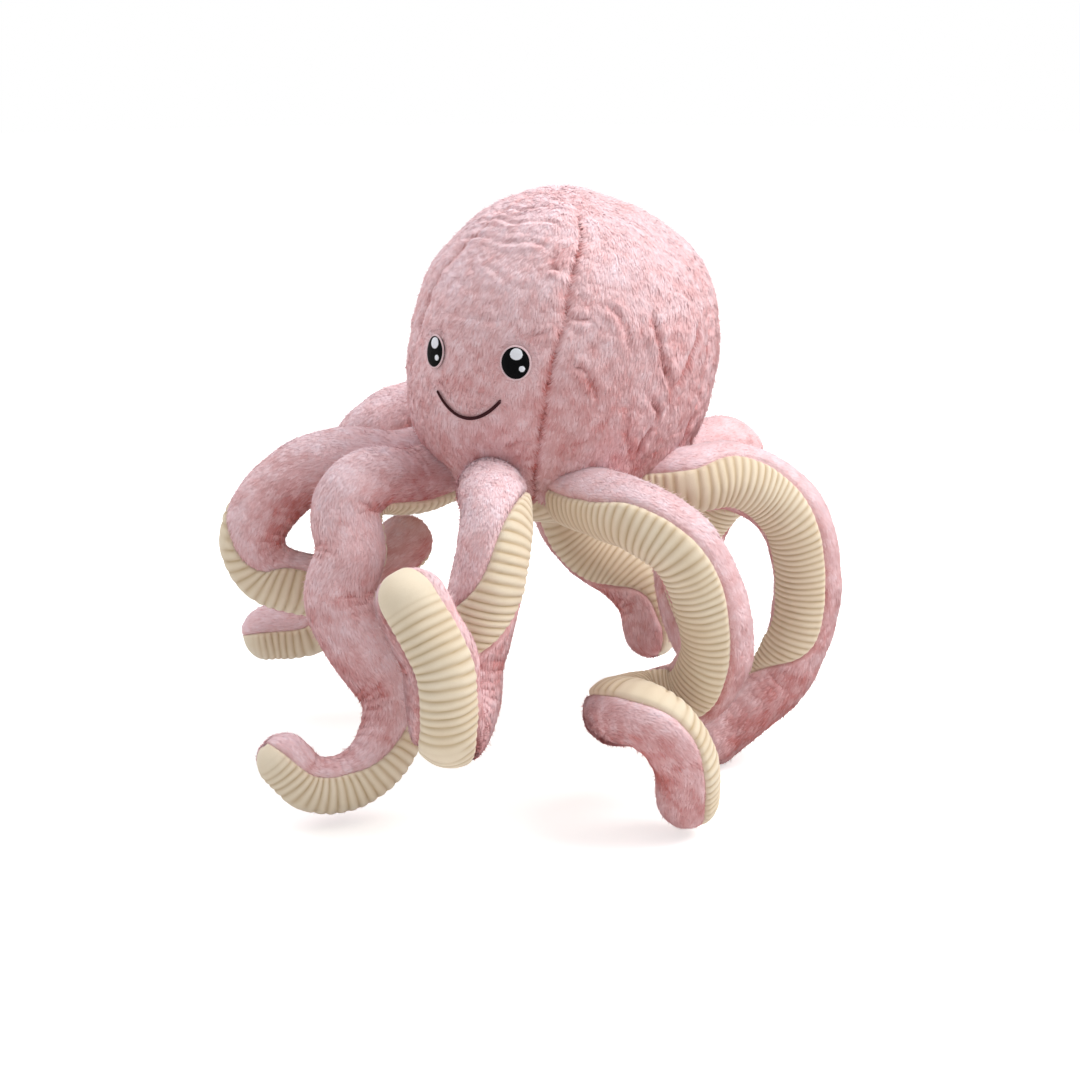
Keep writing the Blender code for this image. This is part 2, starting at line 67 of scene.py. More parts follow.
class Wire:
    # One socket of a node tree: sums of wires add Math nodes, and node() adds any other node
    def __init__(self, tree, socket=None):
        self.tree = tree
        self.socket = socket

    def node(self, kind, settings=None, inputs=None, out=0):
        made = self.tree.nodes.new(kind)
        for name, value in (settings or {}).items():
            setattr(made, name, value)
        for place, value in (inputs or {}).items():
            if isinstance(value, Wire):
                self.tree.links.new(value.socket, made.inputs[place])
            else:
                made.inputs[place].default_value = value
        return Wire(self.tree, made.outputs[out] if made.outputs else None)

    def out(self, name):
        return Wire(self.tree, self.socket.node.outputs[name])

    def maths(self, operation, *values):
        return self.node("ShaderNodeMath", {"operation": operation}, dict(enumerate(values)))

    def __add__(self, other):
        return self.maths("ADD", self, other)

    def __sub__(self, other):
        return self.maths("SUBTRACT", self, other)

    def __rsub__(self, other):
        return self.maths("SUBTRACT", other, self)

    def __mul__(self, other):
        return self.maths("MULTIPLY", self, other)

    def __truediv__(self, other):
        return self.maths("DIVIDE", self, other)

    def __rtruediv__(self, other):
        return self.maths("DIVIDE", other, self)

    def __pow__(self, other):
        return self.maths("POWER", self, other)

    __radd__ = __add__
    __rmul__ = __mul__

    def clipped(self):
        return self.maths("MINIMUM", self.maths("MAXIMUM", self, 0.0), 1.0)

    def arrow(self, operation, *values):
        return self.node("ShaderNodeVectorMath", {"operation": operation}, dict(enumerate(values)))

    def scaled(self, size):
        return self.node("ShaderNodeVectorMath", {"operation": "SCALE"}, {0: self, 3: size})

    def tint(self, share, first, second, way="MIX"):
        return self.node("ShaderNodeMix", {"data_type": "RGBA", "blend_type": way},
                         {0: share, 6: first, 7: second}, 2)

    def cloud(self, place, scale, detail, roughness=0.5, out=0):
        return self.node("ShaderNodeTexNoise", out=out, inputs={
            "Vector": place, "Scale": scale, "Detail": detail, "Roughness": roughness})


def asWritten(red, green, blue):
    # a colour as a picture shows it, 0 to 255, in Blender's linear numbers
    parts = [value / 255 for value in (red, green, blue)]
    return (*(v / 12.92 if v < 0.04 else ((v + 0.055) / 1.055) ** 2.4 for v in parts), 1)


def newMaterial(name):
    material = bpy.data.materials.new(name)
    material.use_nodes = True
    material.node_tree.nodes.clear()
    return material, Wire(material.node_tree)


def shadeWith(wires, shader):
    wires.node("ShaderNodeOutputMaterial", inputs={"Surface": shader})


def readAttribute(wires, name):
    return wires.node("ShaderNodeAttribute", {"attribute_name": name}).out("Fac")


furColours = {
    "deep": asWritten(202, 124, 120),
    "middle": asWritten(238, 202, 205),
    "light": asWritten(250, 234, 242),
    "rootShade": 0.96,
}


def makeFurMaterial():
    # tone runs from deep rose to pale pink, and tip from the root of a tuft to its end
    material, wires = newMaterial("pinkFur")
    tone = readAttribute(wires, "tone")
    tip = readAttribute(wires, "tip")
    low = wires.tint((tone * 2.0).clipped(), furColours["deep"], furColours["middle"])
    both = wires.tint((tone * 2.0 - 1.0).clipped(), low, furColours["light"])
    # painted shade: each tuft is a little darker towards its root
    depth = (tip * (1 - furColours["rootShade"]) + furColours["rootShade"]).clipped()
    grey = wires.node("ShaderNodeCombineColor", inputs={0: depth, 1: depth, 2: depth})
    shadeWith(wires, wires.node("ShaderNodeBsdfPrincipled", inputs={
        "Base Color": wires.tint(1.0, both, grey, "MULTIPLY"),
        "Roughness": 1.0,
        "Specular IOR Level": 0.0,
    }))
    return material


cordColours = {
    "ridge": asWritten(233, 220, 198),
    "groove": asWritten(192, 168, 134),
    "shaded": asWritten(220, 201, 173),
    "grooveEdge": 1.3,
    "cloudScale": 22.0,
    "cloudFrom": 0.35,  # the noise above this is a shaded patch
    "cloudGain": 2.4,
    "cloudShare": 0.7,
    "pileScale": 900.0,
    "pileShare": 0.16,
    "pileBump": 0.25,
    "pileDepth": 0.0006,
}


def makeCordMaterial():
    # cream ribbed plush: pale ridges, grooves painted a darker tan as shade, and a fine pile over both
    look = cordColours
    material, wires = newMaterial("creamCord")
    rib = readAttribute(wires, "rib")
    place = wires.node("ShaderNodeTexCoord").out("Object")
    cloud = wires.cloud(place, look["cloudScale"], 3.0)
    pile = wires.cloud(place, look["pileScale"], 2.0, 0.6)
    patchy = ((cloud - look["cloudFrom"]) * look["cloudGain"]).clipped() * look["cloudShare"]
    top = wires.tint(patchy, look["ridge"], look["shaded"])
    # painted shade: the grooves between the ribs take the darker tan
    colour = wires.tint(rib ** look["grooveEdge"], look["groove"], top)
    bump = wires.node("ShaderNodeBump", inputs={
        "Strength": look["pileBump"], "Distance": look["pileDepth"], "Height": pile})
    shadeWith(wires, wires.node("ShaderNodeBsdfPrincipled", inputs={
        "Base Color": wires.tint(pile * look["pileShare"], colour, look["groove"]),
        "Roughness": 0.9,
        "Sheen Weight": 0.25,
        "Sheen Roughness": 0.5,
        "Specular IOR Level": 0.15,
        "Normal": bump,
    }))
    return material


threadLooks = {
    # colour, roughness, and how much the colour fades along the thread
    "blackThread": (asWritten(4, 4, 6), 0.5, 0.02),
    "whiteThread": (asWritten(236, 238, 244), 0.5, 0.12),
    "rimThread": (asWritten(234, 206, 210), 0.7, 0.1),
    "smileThread": (asWritten(62, 18, 24), 0.5, 0.08),
}
threadGrain = {
    "scale": 1400.0,
    "roughness": 0.3,
    "faded": asWritten(128, 128, 128),
}


def makeThreadMaterial(name):
    # satin embroidery thread, a little uneven along its length
    colour, roughness, variation = threadLooks[name]
    material, wires = newMaterial(name)
    uneven = wires.cloud(wires.node("ShaderNodeTexCoord").out("Object"), threadGrain["scale"], 2.0)
    faded = wires.tint(1.0, colour, threadGrain["faded"], "SCREEN")
    spread = threadGrain["roughness"]
    shadeWith(wires, wires.node("ShaderNodeBsdfPrincipled", inputs={
        "Base Color": wires.tint(uneven * variation, colour, faded),
        "Roughness": (uneven * spread + (roughness - spread / 2)).clipped(),
        "Specular IOR Level": 0.08,
    }))
    return material


pinkFur = makeFurMaterial()
creamCord = makeCordMaterial()
blackThread, whiteThread, rimThread, smileThread = map(makeThreadMaterial, threadLooks)
print("materials made")


def unit(arrows):
    return arrows / np.maximum(np.linalg.norm(arrows, axis=-1, keepdims=True), 1e-12)


def ease(values, low, high):
    share = np.clip((values - low) / (high - low), 0, 1)
    return share * share * (3 - 2 * share)


def hill(distance, width):
    return np.exp(-(distance / width) ** 2)


def splineAt(points, places):
    # the smooth curve through rows of numbers; places count the rows from 0
    points = np.asarray(points, float)
    places = np.asarray(places, float)
    index = np.clip(places.astype(int), 0, len(points) - 2)
    share = (places - index)[..., None]
    wide = np.concatenate([[2 * points[0] - points[1]], points, [2 * points[-1] - points[-2]]])
    before, here, after, beyond = (wide[index + step] for step in range(4))
    bend = 2 * before - 5 * here + 4 * after - beyond
    turn = 3 * (here - after) + beyond - before
    return (2 * here + (after - before) * share + bend * share ** 2 + turn * share ** 3) / 2


def cloudAt(points, look, number=0):
    # smooth noise: how much each way, in lumps of which size (or sizes along X, Y and Z), and its seed
    amount, size, seed = look
    spots = (points / np.array(size) + (seed + number) * np.array((7.3, 3.1, 5.7))).reshape(-1, 3)
    return amount * np.array([noise.noise(spot) for spot in spots.tolist()]).reshape(points.shape[:-1])


def spinAbout(angle):
    # a turn about the upright axis
    turn = np.eye(3)
    turn[:2, :2] = (math.cos(angle), -math.sin(angle)), (math.sin(angle), math.cos(angle))
    return turn


def smooth(rows, times):
    for _ in range(times):
        rows[1:-1] = (rows[:-2] + 2 * rows[1:-1] + rows[2:]) / 4


def resampled(even, run, rows):
    # rows of points again, at other distances along their line
    return np.stack([np.interp(even, run, rows[:, axis]) for axis in range(3)], 1)


def pieceName(*words):
    parts = "_".join(words).split("_")
    return parts[0] + "".join(part.title() for part in parts[1:])


def newPiece(name, groups, faces, material, edges=()):
    # a piece whose points come in groups, one after the other
    points = np.concatenate([np.reshape(group, (-1, 3)) for group in groups])
    mesh = bpy.data.meshes.new(name)
    mesh.from_pydata(points.tolist(), list(edges), faces)
    if faces:
        work = bmesh.new()
        work.from_mesh(mesh)
        bmesh.ops.recalc_face_normals(work, faces=work.faces)
        work.to_mesh(mesh)
        work.free()
    mesh.shade_smooth()
    mesh.materials.append(material)
    piece = bpy.data.objects.new(name, mesh)
    bpy.context.scene.collection.objects.link(piece)
    return piece


def gridFaces(rows, columns, closed):
    # quads between rows of points that are numbered row by row
    across = columns if closed else columns - 1
    row, column = np.meshgrid(np.arange(rows - 1), np.arange(across), indexing="ij")
    after = (column + 1) % columns
    quads = np.stack([row * columns + column, row * columns + after,
                      (row + 1) * columns + after, (row + 1) * columns + column], -1)
    return quads.reshape(-1, 4).tolist()


def gridRim(rows, columns):
    # the points round the outside of a grid, in order
    last = rows - 1
    return [*range(columns), *((row + 1) * columns - 1 for row in range(1, rows)),
            *(last * columns + column for column in range(columns - 2, -1, -1)),
            *(row * columns for row in range(last - 1, 0, -1))]


def tubeFaces(rows, columns):
    # a closed skin over rings, with a point before the first ring and one after the last
    first, last = rows * columns, rows * columns + 1
    faces = gridFaces(rows, columns, True)
    end = (rows - 1) * columns
    for column in range(columns):
        after = (column + 1) % columns
        faces.append([first, after, column])
        faces.append([last, end + column, end + after])
    return faces


def writeAttribute(piece, name, values, ends=(), width=1):
    # values at a grid's points, then at the points that follow them
    kind, label = ("FLOAT", "value") if width == 1 else ("FLOAT_VECTOR", "vector")
    layer = piece.data.attributes.new(name, kind, "POINT")
    layer.data.foreach_set(label, np.concatenate([np.ravel(values), np.ravel(ends)]).astype(np.float32))


def readValues(items, label, width=1, kind=np.float32):
    values = np.zeros(len(items) * width, kind)
    items.foreach_get(label, values)
    return values.reshape(-1, width) if width > 1 else values


def newTree(name, sizes):
    # a geometry tree with inputs for its material and for each size that is named with a capital
    tree = bpy.data.node_groups.new(name, "GeometryNodeTree")
    tree.interface.new_socket("Geometry", in_out="OUTPUT", socket_type="NodeSocketGeometry")
    kinds = {label: "Int" if isinstance(value, int) else "Float" for label, value in sizes.items()}
    for label, kind in {"Geometry": "Geometry", "Material": "Material", **kinds}.items():
        if label[0].isupper():
            tree.interface.new_socket(label, in_out="INPUT", socket_type="NodeSocket" + kind)
    return tree, Wire(tree).node("NodeGroupInput")


def endTree(start, geometry):
    real = start.node("GeometryNodeRealizeInstances", inputs={"Geometry": geometry})
    dyed = start.node("GeometryNodeSetMaterial", inputs={"Geometry": real, "Material": start.out("Material")})
    start.node("NodeGroupOutput", inputs={"Geometry": dyed})


def growWith(piece, tree, sizes, material):
    # runs a tree on a piece and keeps its result as a plain mesh
    values = {**sizes, "Material": material}
    modifier = piece.modifiers.new(tree.name, "NODES")
    modifier.node_group = tree
    for item in tree.interface.items_tree:
        if item.in_out == "INPUT" and item.name in values:
            modifier[item.identifier] = values[item.name]
    bpy.context.view_layer.update()
    graph = bpy.context.evaluated_depsgraph_get()
    grown = bpy.data.meshes.new_from_object(piece.evaluated_get(graph), preserve_all_data_layers=True,
                                            depsgraph=graph)
    piece.modifiers.remove(modifier)
    bare = piece.data
    piece.data = grown
    bpy.data.meshes.remove(bare)
    grown.name = piece.name
    return piece


def field(start, name, kind="FLOAT"):
    return start.node("GeometryNodeInputNamedAttribute", {"data_type": kind}, {"Name": name})


def stored(start, geometry, name, value, kind="FLOAT"):
    return start.node("GeometryNodeStoreNamedAttribute", {"data_type": kind, "domain": "POINT"},
                      {"Geometry": geometry, "Name": name, "Value": value})


furSizes = {
    "Seed": 0,  # each piece gives its own
    "Density": 340000.0,  # tufts on a square metre
    "Length": 0.0060,
    "Width": 0.0028,
    "Thickness": 0.0008,
    "Lean": 8.0,
    "Wisp Density": 30000.0,
    "Wisp Length": 0.0058,
    "Wisp Width": 0.0007,
    "Wisp Thickness": 0.0007,
    "Wisp Lean": 1.3,
    "Clump Size": 0.007,
    "Clumping": 2.6,
    "Scatter": 0.8,
    "Mottle": 0.7,
    "inset": 0.0017,  # the skin under the tufts lies this far inside the outer size
    "shortest": 0.65,
    "longest": 1.2,
    "speckle": 0.07,
    "underShade": 0.04,
    "softness": 0.7,  # share of the skin's own normal in a tuft's shading
    "mapSpan": 0.9,
    "mapJitter": 0.01,
}


def randomBetween(start, low, high, seed):
    kind, place, out = ("FLOAT_VECTOR", 0, 0) if isinstance(low, tuple) else ("FLOAT", 2, 1)
    return start.node("FunctionNodeRandomValue", {"data_type": kind},
                      {place: low, place + 1: high, "Seed": seed}, out)


def plantTufts(start, kind, seed):
    # one layer of tufts over a skin: they lean with the nap and gather in clumps
    spread = start.node("GeometryNodeDistributePointsOnFaces", {"distribute_method": "RANDOM"}, {
        "Mesh": start.out("Geometry"), "Density": start.out(kind + "Density") * field(start, "furCover"),
        "Seed": seed})
    normal = spread.out("Normal")
    place = start.node("GeometryNodeInputPosition")
    finer = 1.0 / start.out("Clump Size")
    clumps = start.cloud(place, finer, 1.5, out=1)
    pull = start.arrow("SUBTRACT", clumps, (0.5, 0.5, 0.5)).scaled(start.out("Clumping"))
    wild = randomBetween(start, (-1.0, -1.0, -1.0), (1.0, 1.0, 1.0), seed).scaled(start.out("Scatter"))
    combed = field(start, "nap", "FLOAT_VECTOR").scaled(start.out(kind + "Lean"))
    way = start.arrow("ADD", start.arrow("ADD", normal, combed), start.arrow("ADD", pull, wild))
    turn = start.node("FunctionNodeAlignRotationToVector", {"axis": "Z"}, {"Vector": way})
    turn = start.node("FunctionNodeAlignRotationToVector", {"axis": "Y", "pivot_axis": "Z"},
                      {"Rotation": turn, "Vector": normal})
    size = randomBetween(start, furSizes["shortest"], furSizes["longest"], seed + 1.0) * field(start, "pile")
    stretch = start.node("ShaderNodeCombineXYZ", inputs={
        0: start.out(kind + "Width"), 1: start.out(kind + "Thickness"), 2: start.out(kind + "Length") * size})
    mottle = (start.cloud(place, finer * 0.7, 3.0) - 0.5) * start.out("Mottle")
    speckle = randomBetween(start, -furSizes["speckle"], furSizes["speckle"], seed)
    points = stored(start, spread, "tone", field(start, "shade") + mottle + speckle)
    points = stored(start, points, "skinNormal", normal, "FLOAT_VECTOR")
    cone = start.node("GeometryNodeMeshCone", {"fill_type": "NGON"}, {
        "Vertices": 3, "Radius Top": 0.0, "Radius Bottom": 0.5, "Depth": 1.0})
    cone = stored(start, cone, "tip", start.node("ShaderNodeSeparateXYZ", inputs={0: place}, out=2))
    planted = start.node("GeometryNodeInstanceOnPoints", inputs={
        "Points": points, "Instance": cone, "Rotation": turn, "Scale": stretch})
    return start.node("GeometryNodeRealizeInstances", inputs={"Geometry": planted})


def makeTuftTree():
    # short flat tufts over a skin, and a few thin wisps that stand up out of them
    tree, start = newTree("furTufts", furSizes)
    # painted shade: the skin under the tufts is set a little darker
    under = stored(start, start.out("Geometry"), "tone", field(start, "shade") - furSizes["underShade"])
    under = stored(start, under, "tip", 0.0)
    layers = start.node("GeometryNodeJoinGeometry", inputs={0: under})
    for kind, further in (("", 0.0), ("Wisp ", 3.0)):
        planted = plantTufts(start, kind, start.out("Seed") + further)
        tree.links.new(planted.socket, layers.socket.node.inputs[0])
    endTree(start, layers)
    return tree


def growFur(piece, seed):
    # tufts with soft shading, and a map that lays the surface out by tone and tip
    growWith(piece, tuftTree, {**furSizes, "Seed": seed}, pinkFur)
    mesh = piece.data
    own = readValues(mesh.vertex_normals, "vector", 3)
    skin = readValues(mesh.attributes["skinNormal"].data, "vector", 3)
    tuft = np.linalg.norm(skin, axis=1) > 0.5
    soft = unit(own * (1 - furSizes["softness"]) + skin * furSizes["softness"])
    soft = np.where(tuft[:, None], soft, own)
    corners = readValues(mesh.loops, "vertex_index", 1, np.int32)
    sides = readValues(mesh.polygons, "loop_total", 1, np.int32)
    flat = np.repeat(readValues(mesh.polygons, "normal", 3), sides, axis=0)
    # the underside of a tuft keeps its own normal, since the skin's would leave it black
    under = tuft[corners] & ((flat * skin[corners]).sum(1) < 0)
    mesh.normals_split_custom_set(np.where(under[:, None], flat, soft[corners]).tolist())
    marks = np.stack([readValues(mesh.attributes[label].data, "value") for label in ("tone", "tip")], 1)
    jitter = np.random.default_rng(seed).uniform(-furSizes["mapJitter"], furSizes["mapJitter"], marks.shape)
    spots = np.clip(marks, 0, 1) * furSizes["mapSpan"] + (1 - furSizes["mapSpan"]) / 2 + jitter
    layer = mesh.uv_layers.new(name="OFBake", do_init=False)
    layer.uv.foreach_set("vector", spots[corners].astype(np.float32).ravel())
    return piece


cordSizes = {
    "Pitch": 0.0068,
    "Height": 0.0016,
    "Wander": 0.0024,
    "Roundness": 0.6,
    "wanderScale": 28.0,
    "rowsInRib": 7,
    "columns": 25,
    "capRows": 14,
    "rootRun": 0.010,  # the panel begins this far inside the head
    "tipShort": 0.0025,
    "crowding": 0.25,  # how much the columns crowd towards the panel's edges
    "overlap": 2.0,  # degrees by which the panel runs on past its seam
    "rolledEdge": 11.0,
    "stand": 0.0004,  # the ribs' tops lie this far inside the arm's own radius
    "edgeDrop": 0.0050,
    "innerDrop": 0.0045,
    "endDrop": 0.0012,
    "closing": (55, 88),
    "ribsFrom": (-1, 5),
    "wall": 0.0022,
    "lumps": (0.0009, 0.02, 50),
    "plainEnd": 0.018,
    "frontPlainEnd": 0.042,
    "fadeLength": 0.026,
    "pulledFlat": 0.85,  # where the cloth is pulled round the outside of a sharp turn
    "sharpTurns": (21, 28),
}


def makeRibTree():
    # rounded ribs with narrow grooves, cut into a skin across its length
    tree, start = newTree("cordRibs", cordSizes)
    ribbed = field(start, "ribbed")
    drift = start.cloud(start.node("GeometryNodeInputPosition"), cordSizes["wanderScale"], 1.0)
    along = field(start, "along") + (drift - 0.5) * start.out("Wander")
    wave = start.maths("ABSOLUTE", start.maths("SINE", along / start.out("Pitch") * math.pi))
    rib = wave ** start.out("Roundness") * ribbed + (1.0 - ribbed)
    drop = start.node("GeometryNodeInputNormal").scaled((rib - 1.0) * start.out("Height"))
    marked = stored(start, start.out("Geometry"), "rib", rib)
    endTree(start, start.node("GeometryNodeSetPosition", inputs={"Geometry": marked, "Offset": drop}))
    return tree


threadSizes = {
    "Thickness": 0.00056,
    "Sides": 5,
    "pitch": 0.00042,
    "stitchPoints": 9,
    "patchRings": 10,
    "patchColumns": 48,
    "patchEdge": 0.985,
    "patchDepth": 0.0025,
    "leanest": 0.6,
    "eyeFloor": 0.0006,
    "eyeDome": 0.0016,
    "eyeSlant": 20.0,
    "glintDome": 0.0007,
    "glintLift": 0.75,
    "rimStitches": 171,
    "rimReach": 1.5,
    "rimSlant": 0.03,
    "rimHeight": 0.0010,
    "smileStitches": 171,
    "smileSlant": 0.5,
    "smileEnd": 0.97,
    "smileSteps": 400,
    "smileTaper": 30,
    "leastTaper": 0.05,
    "smileHeight": 0.0013,
    "shortPoints": 5,
    "low": 0.0002,  # where a short stitch goes into the cloth
}


def makeThreadTree():
    # lays a round thread along each line of a wire mesh
    tree, start = newTree("threads", threadSizes)
    lines = start.node("GeometryNodeMeshToCurve", inputs={"Mesh": start.out("Geometry")})
    lines = start.node("GeometryNodeSetCurveRadius", inputs={"Curve": lines, "Radius": field(start, "swell")})
    ring = start.node("GeometryNodeCurvePrimitiveCircle", inputs={
        "Resolution": start.out("Sides"), "Radius": start.out("Thickness") * 0.5})
    tubes = start.node("GeometryNodeCurveToMesh", inputs={
        "Curve": lines, "Profile Curve": ring, "Fill Caps": True})
    endTree(start, start.node("GeometryNodeSetShadeSmooth", inputs={"Geometry": tubes}))
    return tree


tuftTree = makeTuftTree()
ribTree = makeRibTree()
threadTree = makeThreadTree()

# The photograph's view, worked out from the picture
camera = {
    "place": (1.2163, -1.5888, 0.5529),
    "tilt": 73.6,
    "turn": 38.0,
    "lens": 73.33,
    "sensor": 36.0,
    "picture": 1080,
}
cameraTurn = Euler((math.radians(camera["tilt"]), 0, math.radians(camera["turn"])))
focus = camera["lens"] / camera["sensor"] * camera["picture"]
pictureMiddle = camera["picture"] / 2


def pixelRay(pixel):
    # the line of sight through a point of the picture
    sight = Vector(((pixel[0] - pictureMiddle) / focus, (pictureMiddle - pixel[1]) / focus, -1))
    sight.rotate(cameraTurn)
    return Vector(camera["place"]), sight.normalized()


def pixelsOf(points):
    # where the picture shows points
    seen = (points - np.array(camera["place"])) @ np.array(cameraTurn.to_matrix())
    return pictureMiddle + seen[..., :2] / -seen[..., 2:] * focus * np.array((1, -1))


headShape = {
    "radius": 0.146,
    "height": 0.304,
    "crown": 0.0045,
    "gores": 5,
    "goreTurn": 3.0,
    "goreLean": 30.0,
    "leanMiddle": 0.6,
    "valley": 0.004,
    "fadeRows": 3,
    "seatRow": 1,
    "panelRow": 4,
    "faceTurn": 3.6,
    "middle": 0.150,
    # how far the skin stands in or out at every 20 degrees, from straight down over the left to the top
    "swellStep": 20.0,
    "swellFrom": (0.02, 0.08),
    "swells": (0, 0, 0.002, 0.008, 0.001, -0.0078, -0.009, -0.0115, -0.009, -0.0048, -0.0095, -0.0055,
               0.0015, 0.001, 0, -0.001, 0, 0, 0),
    # shares of the radius and of the height, from the middle of the seat to the crown
    "outline": ((0.0, 0.0), (0.41, 0.0), (0.56, 0.016), (0.66, 0.05), (0.72, 0.092), (0.785, 0.15),
                (0.86, 0.21), (0.955, 0.33), (1.0, 0.48), (0.985, 0.62), (0.90, 0.74), (0.80, 0.82),
                (0.63, 0.905), (0.45, 0.957), (0.24, 0.987)),
    "slopeStep": 0.01,
    "plainRows": 80,
    "plainColumns": 17,
    "heightSteps": 600,
}
headOutline = np.array([(across * headShape["radius"], up * headShape["height"])
                        for across, up in headShape["outline"]] + [(headShape["crown"], headShape["height"])])
topRow = len(headOutline) - 1
goreHalf = 180 / headShape["gores"]
seamLine = {
    # the seam beside the face, in pixels, and its turn in degrees at each height once it is laid on the head
    "pixels": ((583, 229), (577, 254), (573, 274), (567, 300), (565, 322), (560, 335), (552, 365), (547, 387),
               (543, 419), (537, 452), (533, 482)),
    "heights": (0.0, 1.0),
    "turns": (0.0, 0.0),
}


def outlineAt(places, lift):
    # distance from the axis and height of the head's skin
    spots = splineAt(headOutline, places)
    step = headShape["slopeStep"]
    ahead = splineAt(headOutline, np.minimum(places + step, topRow))
    run = unit(ahead - splineAt(headOutline, np.maximum(places - step, 0)))
    outward = np.stack([run[..., 1], -run[..., 0]], -1)
    flat = (places <= headShape["seatRow"])[..., None]
    return spots + np.where(flat, np.array((0.0, -1.0)), outward) * np.asarray(lift)[..., None]


def goreMiddle(places, gore):
    heights = outlineAt(places, 0.0)[..., 1]
    lean = headShape["goreLean"] * (heights / headShape["height"] - headShape["leanMiddle"])
    return gore * 2 * goreHalf + headShape["goreTurn"] + lean + np.interp(
        heights, seamLine["heights"], seamLine["turns"])


def pressed(points):
    # the stuffing's own form: the skin stands in or out from a plain dome, by the angle seen from the camera
    spokes = points - np.array((0, 0, headShape["middle"]))
    turn = math.radians(camera["turn"])
    across = spokes[..., 0] * math.cos(turn) + spokes[..., 1] * math.sin(turn)
    whole = np.linalg.norm(spokes, axis=-1)
    place = (np.degrees(np.arctan2(across, spokes[..., 2])) + 180) / headShape["swellStep"]
    swell = splineAt(np.array(headShape["swells"])[:, None], np.clip(place, 0, len(headShape["swells"]) - 1))
    reach = np.hypot(across, spokes[..., 2]) / whole
    swell = swell[..., 0] * reach ** 2 * ease(points[..., 2], *headShape["swellFrom"])
    return points + spokes * (swell / whole)[..., None]


def headSkin(places, gore, across, lift):
    # points of the head's skin: across runs from -1 to 1 over a gore
    spots = outlineAt(places, lift)
    fade = np.clip((places - headShape["panelRow"]) / headShape["fadeRows"], 0, 1)
    radius = spots[..., 0] * (1 - headShape["valley"] / headShape["radius"] * fade * across ** 4)
    angle = np.radians(goreMiddle(places, gore) + across * goreHalf)
    return pressed(np.stack([radius * np.sin(angle), -radius * np.cos(angle), spots[..., 1]], -1))


def plainHead():
    # the head without its folds, to lay things of the picture on
    rows, columns = headShape["plainRows"], headShape["plainColumns"]
    places, across = np.meshgrid(np.linspace(0, topRow, rows), np.linspace(-1, 1, columns), indexing="ij")
    points, faces = [], []
    for gore in range(headShape["gores"]):
        grid = headSkin(places, gore, across, np.zeros_like(places)).reshape(-1, 3)
        faces += [[index + gore * len(grid) for index in each] for each in gridFaces(rows, columns, False)]
        points.append(grid)
    return BVHTree.FromPolygons(np.concatenate(points).tolist(), faces)


def laidOnHead(pixels):
    # the points of the head that the picture shows at these pixels
    spots = [headTree.ray_cast(*pixelRay(pixel))[0] for pixel in pixels]
    return np.array([spot for spot in spots if spot])


def laySeam():
    # turns the gores at each height so that their seam follows its line in the picture
    spots = laidOnHead(seamLine["pixels"])[::-1]
    angles = np.degrees(np.arctan2(spots[:, 0], -spots[:, 1]))
    turns = angles - goreMiddle(np.interp(spots[:, 2], rowHeights, finePlaces), 0) - goreHalf
    print("seam turned by", [round(float(turn), 1) for turn in turns], "degrees")
    seamLine["heights"], seamLine["turns"] = spots[:, 2], turns


headTree = plainHead()
finePlaces = np.linspace(0, topRow, headShape["heightSteps"])
rowHeights = outlineAt(finePlaces, 0.0)[:, 1]
laySeam()

# Folds of the head's fur where the picture shows them: their line in pixels, then depth and width
headFolds = {
    "rightUpright": (((650, 304), (657, 331), (665, 365), (672, 386), (674, 398)), 0.0042, 0.0050),
    "rightLeaning": (((701, 310), (699, 336), (691, 359), (682, 378), (673, 392)), 0.0040, 0.0048),
    "pinchUpper": (((647, 393), (655, 404), (661, 412), (655, 424)), 0.0038, 0.0042),
    "pinchLower": (((655, 424), (642, 445), (636, 458)), 0.0040, 0.0045),
    "bulgeSide": (((629, 411), (627, 428), (629, 444), (634, 460)), 0.0030, 0.0045),
    "seamArc": (((562, 361), (585, 369), (596, 391), (600, 405)), 0.0026, 0.0042),
    "shortUpper": (((568, 316), (580, 318), (592, 318)), 0.0026, 0.0035),
    "longUpper": (((600, 297), (618, 312), (627, 330), (630, 352)), 0.0024, 0.0050),
    "lowUpper": (((668, 271), (682, 290), (694, 306)), 0.0020, 0.0050),
    "crownOne": (((452, 240), (480, 234), (505, 241), (535, 240), (560, 250)), 0.0014, 0.0034),
    "crownTwo": (((466, 226), (490, 217), (515, 222), (548, 219), (570, 228)), 0.0013, 0.0032),
    "crownThree": (((500, 206), (522, 209), (548, 204), (580, 214)), 0.0011, 0.0034),
    "crownFour": (((548, 262), (556, 254), (566, 246), (578, 241)), 0.0026, 0.0036),
    "tuftSide": (((540, 272), (552, 266), (562, 268)), 0.0024, 0.0034),
    "browLine": (((420, 318), (450, 312), (478, 318), (505, 321)), 0.0010, 0.0040),
    "cheekLine": (((527, 336), (545, 331), (560, 333)), 0.0018, 0.0036),
    "chinSide": (((502, 449), (520, 441), (535, 446)), 0.0018, 0.0040),
    "lowRight": (((560, 455), (590, 440), (612, 415)), 0.0014, 0.0055),
}
foldForm = {
    "depth": 1.3,
    "core": 0.6,  # shares of a fold's width: its own, and its raised lip's place and width
    "lipHeight": 0.5,
    "lipAt": 1.5,
    "lipWidth": 0.9,
    "taper": (-0.02, 0.25),
    "darkest": 0.004,  # a fold this deep gets its full painted shade
    "evenness": 0.75,
    "breaks": (0.9, 0.013, 77),
    "most": 1.3,
    "repeated": ("right", "pinch", "bulge", "seam", "long", "low"),
    "repeatTurns": (79.2, 147.6, 208.8),
    "repeatDepth": 0.8,
}


